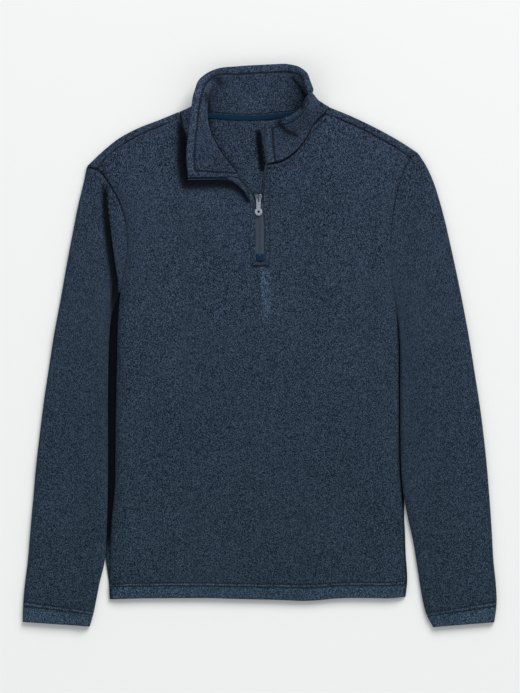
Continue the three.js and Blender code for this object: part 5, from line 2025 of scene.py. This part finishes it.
@dataclass
class ZipFront:
    """The zip: its tapes, coil, slider, pull tab and the tab that closes its lower end."""

    collar: Collar
    tape: Material
    teal: Material
    coil: Material
    metal: Material
    plated: Material
    closed_tape: Tuple[float, ...] = (125, 150, 176, 205)
    open_tape_y: float = 217.0
    tooth: LinkSize = LinkSize(1.5, 0.95, 2.3, 1.5)
    tab_foot: float = 125.6
    tab_head: float = 136.0
    tab_half: float = 5.6
    tab_under: float = 5.4
    tab_top: float = 6.6

    def zip_rows(self, side: Side) -> TapeRows:
        """Rows of one tape where it lies in the front.

        Args:
            side: Which tape.

        Returns:
            By row, its free edge and its edge under the cloth.
        """
        word, way = side.name.lower(), side.value
        rows = {"y": ZIP_OPENING[f"{word}Y"], "x": ZIP_OPENING[f"{word}X"]}

        def edge(y: float) -> Array:
            """The edge of the cloth."""
            return vec(float(smooth(rows, "y", "x", np.array(y))), y, TAPE_Z)

        under = vec(way * TAPE_UNDER, 0)
        made = [(vec(ZIP_X + way * 0.2, y, TAPE_Z), edge(y) + under) for y in self.closed_tape]
        top = float(rows["y"][-1]) - 2
        for y in np.linspace(self.open_tape_y, top, 5):
            run = unit(edge(y + 0.5) - edge(y - 0.5))
            cloth = vec(run[1] * way, -run[0] * way)
            made.append((edge(y) - cloth * TAPE_PROUD, edge(y) + cloth * TAPE_UNDER))
        return made

    def end_rows(self, end: Array, following: Array, steps: range, under: float, proud: float) -> TapeRows:
        """Rows of the tape along an end of the collar, on its inner face.

        Args:
            end: The collar's last section.
            following: The section beside it.
            steps: Which points of the section the tape passes.
            under: How far the tape reaches in from the end.
            proud: How far it stands out past it.

        Returns:
            By row, its free edge and its edge under the cloth.
        """
        distance = (COLLAR_CLOTH + TAPE_WALL) / 2 + SEAM_GAP * 2
        made = []
        for step in steps:
            cloth = unit(following[step] - end[step])
            run = end[min(step + 1, len(end) - 1)] - end[step - 1]
            place = end[step] + unit(np.cross(run, cloth)) * distance
            made.append((place - cloth * proud, place + cloth * under))
        return made

    def tape_piece(self, cut: TapeCut, rows: TapeRows, material: Material) -> Array:
        """Makes one tape.

        Args:
            cut: Its names and size.
            rows: By row, its free edge and its edge under the cloth.
            material: Its weave.

        Returns:
            The line of its free edge.
        """
        free, under = np.array([a for a, _ in rows]), np.array([b for _, b in rows])
        coarse = np.stack([free, under], axis=1)
        knots = mean_knots(coarse)
        at = spaced(float(knots[-1]), 2.0)
        fine = cubic(coarse, knots, at)
        across = np.linspace(0, 1, 6)[None, :, None]
        grid = fine[:, :1] * (1 - across) + fine[:, 1:] * across
        closed = (grid[:, 0, 1] < 210) & (grid[:, 0, 2] < TAPE_Z + 0.1)
        grid[closed, :, 2] += 1.25 * np.clip(1 - across[0, :, 0] / 0.5, 0, 1) ** 0.5
        width = np.linalg.norm(fine[:, 1] - fine[:, 0], axis=1)[:, None] * across[0, :, 0]
        sheet = Sheet()
        weave = np.stack([width, np.broadcast_to(at[:, None], width.shape)], -1)
        sheet.join(sheet.add(grid, weave, TAPE_WALL / 2))
        obj = dress(sheet.mesh(cut.piece), material, [cut.node])
        return fine[:, 0]

    def make(self) -> None:
        """Makes the whole zip."""
        sections = self.collar.sections
        right = self.tape_piece(RIGHT_TAPE, self.zip_rows(Side.RIGHT), self.tape)
        lapel_rows = self.end_rows(sections[0], sections[1], range(5, 9), 6.5, 3.4)
        lapel = self.tape_piece(LAPEL_TAPE, lapel_rows, self.teal)
        turn = [(vec(10, 270.6, TAPE_Z), vec(17, 271.6, TAPE_Z))]
        up = self.end_rows(sections[-1], sections[-2], range(2, 9), TAPE_UNDER + 1, TAPE_PROUD / 2)
        left = self.tape_piece(LEFT_TAPE, self.zip_rows(Side.LEFT) + turn + up, self.tape)
        self.coils(right, lapel, left)
        self.end_tab()
        self.metal_piece("zip_slider", "slider_metal", "sweater", 0.5, self.plated)
        self.metal_piece("zip_pull", "pull_metal", "pull", 0.45, self.metal)

    def coils(self, right: Array, lapel: Array, left: Array) -> None:
        """Makes the teeth: two interlocked rows where the zip is closed, one along each open tape.

        Args:
            right: The free edge of the right tape.
            lapel: The free edge of the tape on the folded collar.
            left: The free edge of the left tape.
        """
        y = np.arange(self.closed_tape[0] + 9, 211.0, 1.0)
        height = np.full(len(y), TAPE_Z + TAPE_WALL / 2 + 1.45)
        closed = [
            np.column_stack([np.full(len(y), ZIP_X + side.value * 0.7), y + side.value * 0.37, height])
            for side in Side
        ]
        lift = vec(0, 0, TAPE_WALL / 2 + 0.55)
        upright = left[:, 2] >= TAPE_Z + 0.5
        opened = [
            right[right[:, 1] > 226] + lift,
            left[(left[:, 1] > 226) & ~upright] + lift,
            left[upright],
            lapel + vec(0, -0.4, 0.3),
        ]
        obj = ThreadTree("coil_links", self.coil, self.tooth).lay("zip_coil", closed + opened)
        dress(obj, self.coil, [])

    def end_tab(self) -> None:
        """Makes the woven tab that closes the lower end of the zip."""
        xs = ZIP_X + np.linspace(-self.tab_half, self.tab_half, 15)
        ys = np.linspace(self.tab_foot, self.tab_head, 13)
        middle = (self.tab_under + self.tab_top) / 2
        grid = np.stack(np.broadcast_arrays(xs[None, :], ys[:, None], middle), -1).copy()
        round_off = np.clip(1.5 - (ys[:, None] - self.tab_foot), 0, 1.5) / 1.5
        grid[..., 0] = ZIP_X + (grid[..., 0] - ZIP_X) * (1 - 0.12 * round_off ** 2)
        grid[..., 2] += 0.25 * np.cos((grid[..., 0] - ZIP_X) / self.tab_half * math.pi / 2)
        sheet = Sheet()
        sheet.join(sheet.add(grid, grid[..., :2].copy(), (self.tab_top - self.tab_under) / 2))
        obj = dress(sheet.mesh("zip_end_cloth"), self.teal, ["zip_end_tab"])

    @staticmethod
    def metal_piece(node: str, name: str, body: str, soft: float, metal: Material) -> None:
        """Makes a metal piece in the shape of its solid, with its edges rounded over.

        Args:
            node: The solid.
            name: The piece's name.
            body: The body that it moves with.
            soft: How wide the rounded edges are.
            metal: Its finish.
        """
        obj = new_object(name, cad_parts[node].data.copy())
        weld = obj.modifiers.new("weld", "WELD")
        weld.merge_threshold = 0.00001
        bevel = obj.modifiers.new("bevel", "BEVEL")
        bevel.width = soft * MM
        bevel.segments = 3
        bevel.limit_method = "ANGLE"
        bevel.angle_limit = math.radians(32)
        bevel.harden_normals = False
        bpy.context.view_layer.update()
        made = plain(obj)
        made.data.polygons.foreach_set("use_smooth", np.ones(len(made.data.polygons), bool))
        made.data.set_sharp_from_angle(angle=math.radians(40))
        dress(made, metal, [node], body)


@dataclass
class NeckTape:
    """The tape along the inside of the back neck seam."""

    teal: Material
    width: float = 7.5

    def make(self) -> None:
        """Makes the tape."""
        neck = Pattern.neck(None)
        height = BACK_Z + CLOTH / 2 + SEAM_GAP + TAPE_WALL / 2
        knots = lengths(neck)
        at = spaced(float(knots[-1]), 2.0)
        line = cubic(neck, knots, at)
        drops = np.linspace(self.width + 1, 1, 7)
        grid = np.stack([line - vec(0, drop) for drop in drops], axis=0)
        crown = 0.22 * np.sin(np.linspace(0, math.pi, len(drops)))
        grid[..., 2] = height + crown[:, None]
        sheet = Sheet()
        weave = pairs(at[None, :], -drops[:, None])
        sheet.join(sheet.add(grid, weave, TAPE_WALL / 2))
        obj = dress(sheet.mesh("neck_tape_cloth"), self.teal, ["neck_tape"])


@dataclass
class Stitching:
    """Every line of stitches that shows."""

    thread: Material
    size: LinkSize = LinkSize(2.9, 2.1, 0.7, 0.55)

    def make(self, body: Body, sleeves: Sequence[Sleeve], collar: Collar) -> None:
        """Lays the stitches on the finished cloth.

        Args:
            body: The front and back.
            sleeves: Both sleeves.
            collar: The collar.
        """
        def both(*rows: str) -> List[Array]:
            """The lines of these names, on the wearer's right and left."""
            return [body.lines[f"{row}_{side.name}"] for row in rows for side in Side]

        tree = ThreadTree("stitches", self.thread, self.size)
        lines = {
            "hem_stitches": both("hem_lower", "hem_upper"),
            "cuff_stitches": [line for sleeve in sleeves for line in sleeve.lines],
            "seam_stitches": both("armhole", "shoulder", "edge_near", "edge_far"),
            "collar_stitches": collar.lines,
        }
        for name, rows in lines.items():
            dress(tree.lay(name, rows), self.thread, [])


def main() -> None:
    """Builds the studio and the sweater, piece by piece."""
    logging.basicConfig(level=logging.INFO, format="%(message)s")
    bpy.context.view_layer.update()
    Studio().set_up()
    knit = MarlKnit("marl_knit").make()
    collar_knit = MarlKnit("collar_knit", fleck=1550.0).make()
    tape = TwillTape("zip_tape_weave", rgb(40, 50, 60), rgb(68, 79, 91)).make()
    teal = TwillTape("teal_twill", rgb(0, 19, 38), rgb(5, 43, 68)).make()
    coil = MouldedNylon("coil_nylon", rgb(46, 56, 67), rgb(68, 78, 90)).make()
    thread = MouldedNylon("navy_thread", rgb(10, 15, 23), rgb(26, 34, 46), 0.7).make()
    metal = SatinMetal("satin_metal").make()
    plated = SatinMetal("plated_metal", rgb(120, 128, 138), rgb(58, 66, 76)).make()
    pattern = Pattern()
    body = Body(pattern, knit)
    body.make()
    sleeves = [Sleeve(pattern, knit, side) for side in Side]
    for sleeve in sleeves:
        sleeve.make()
    collar = Collar(pattern, collar_knit)
    collar.make()
    NeckTape(teal).make()
    ZipFront(collar, tape, teal, coil, metal, plated).make()
    Stitching(thread).make(body, sleeves, collar)


if __name__ == "__main__":
    main()
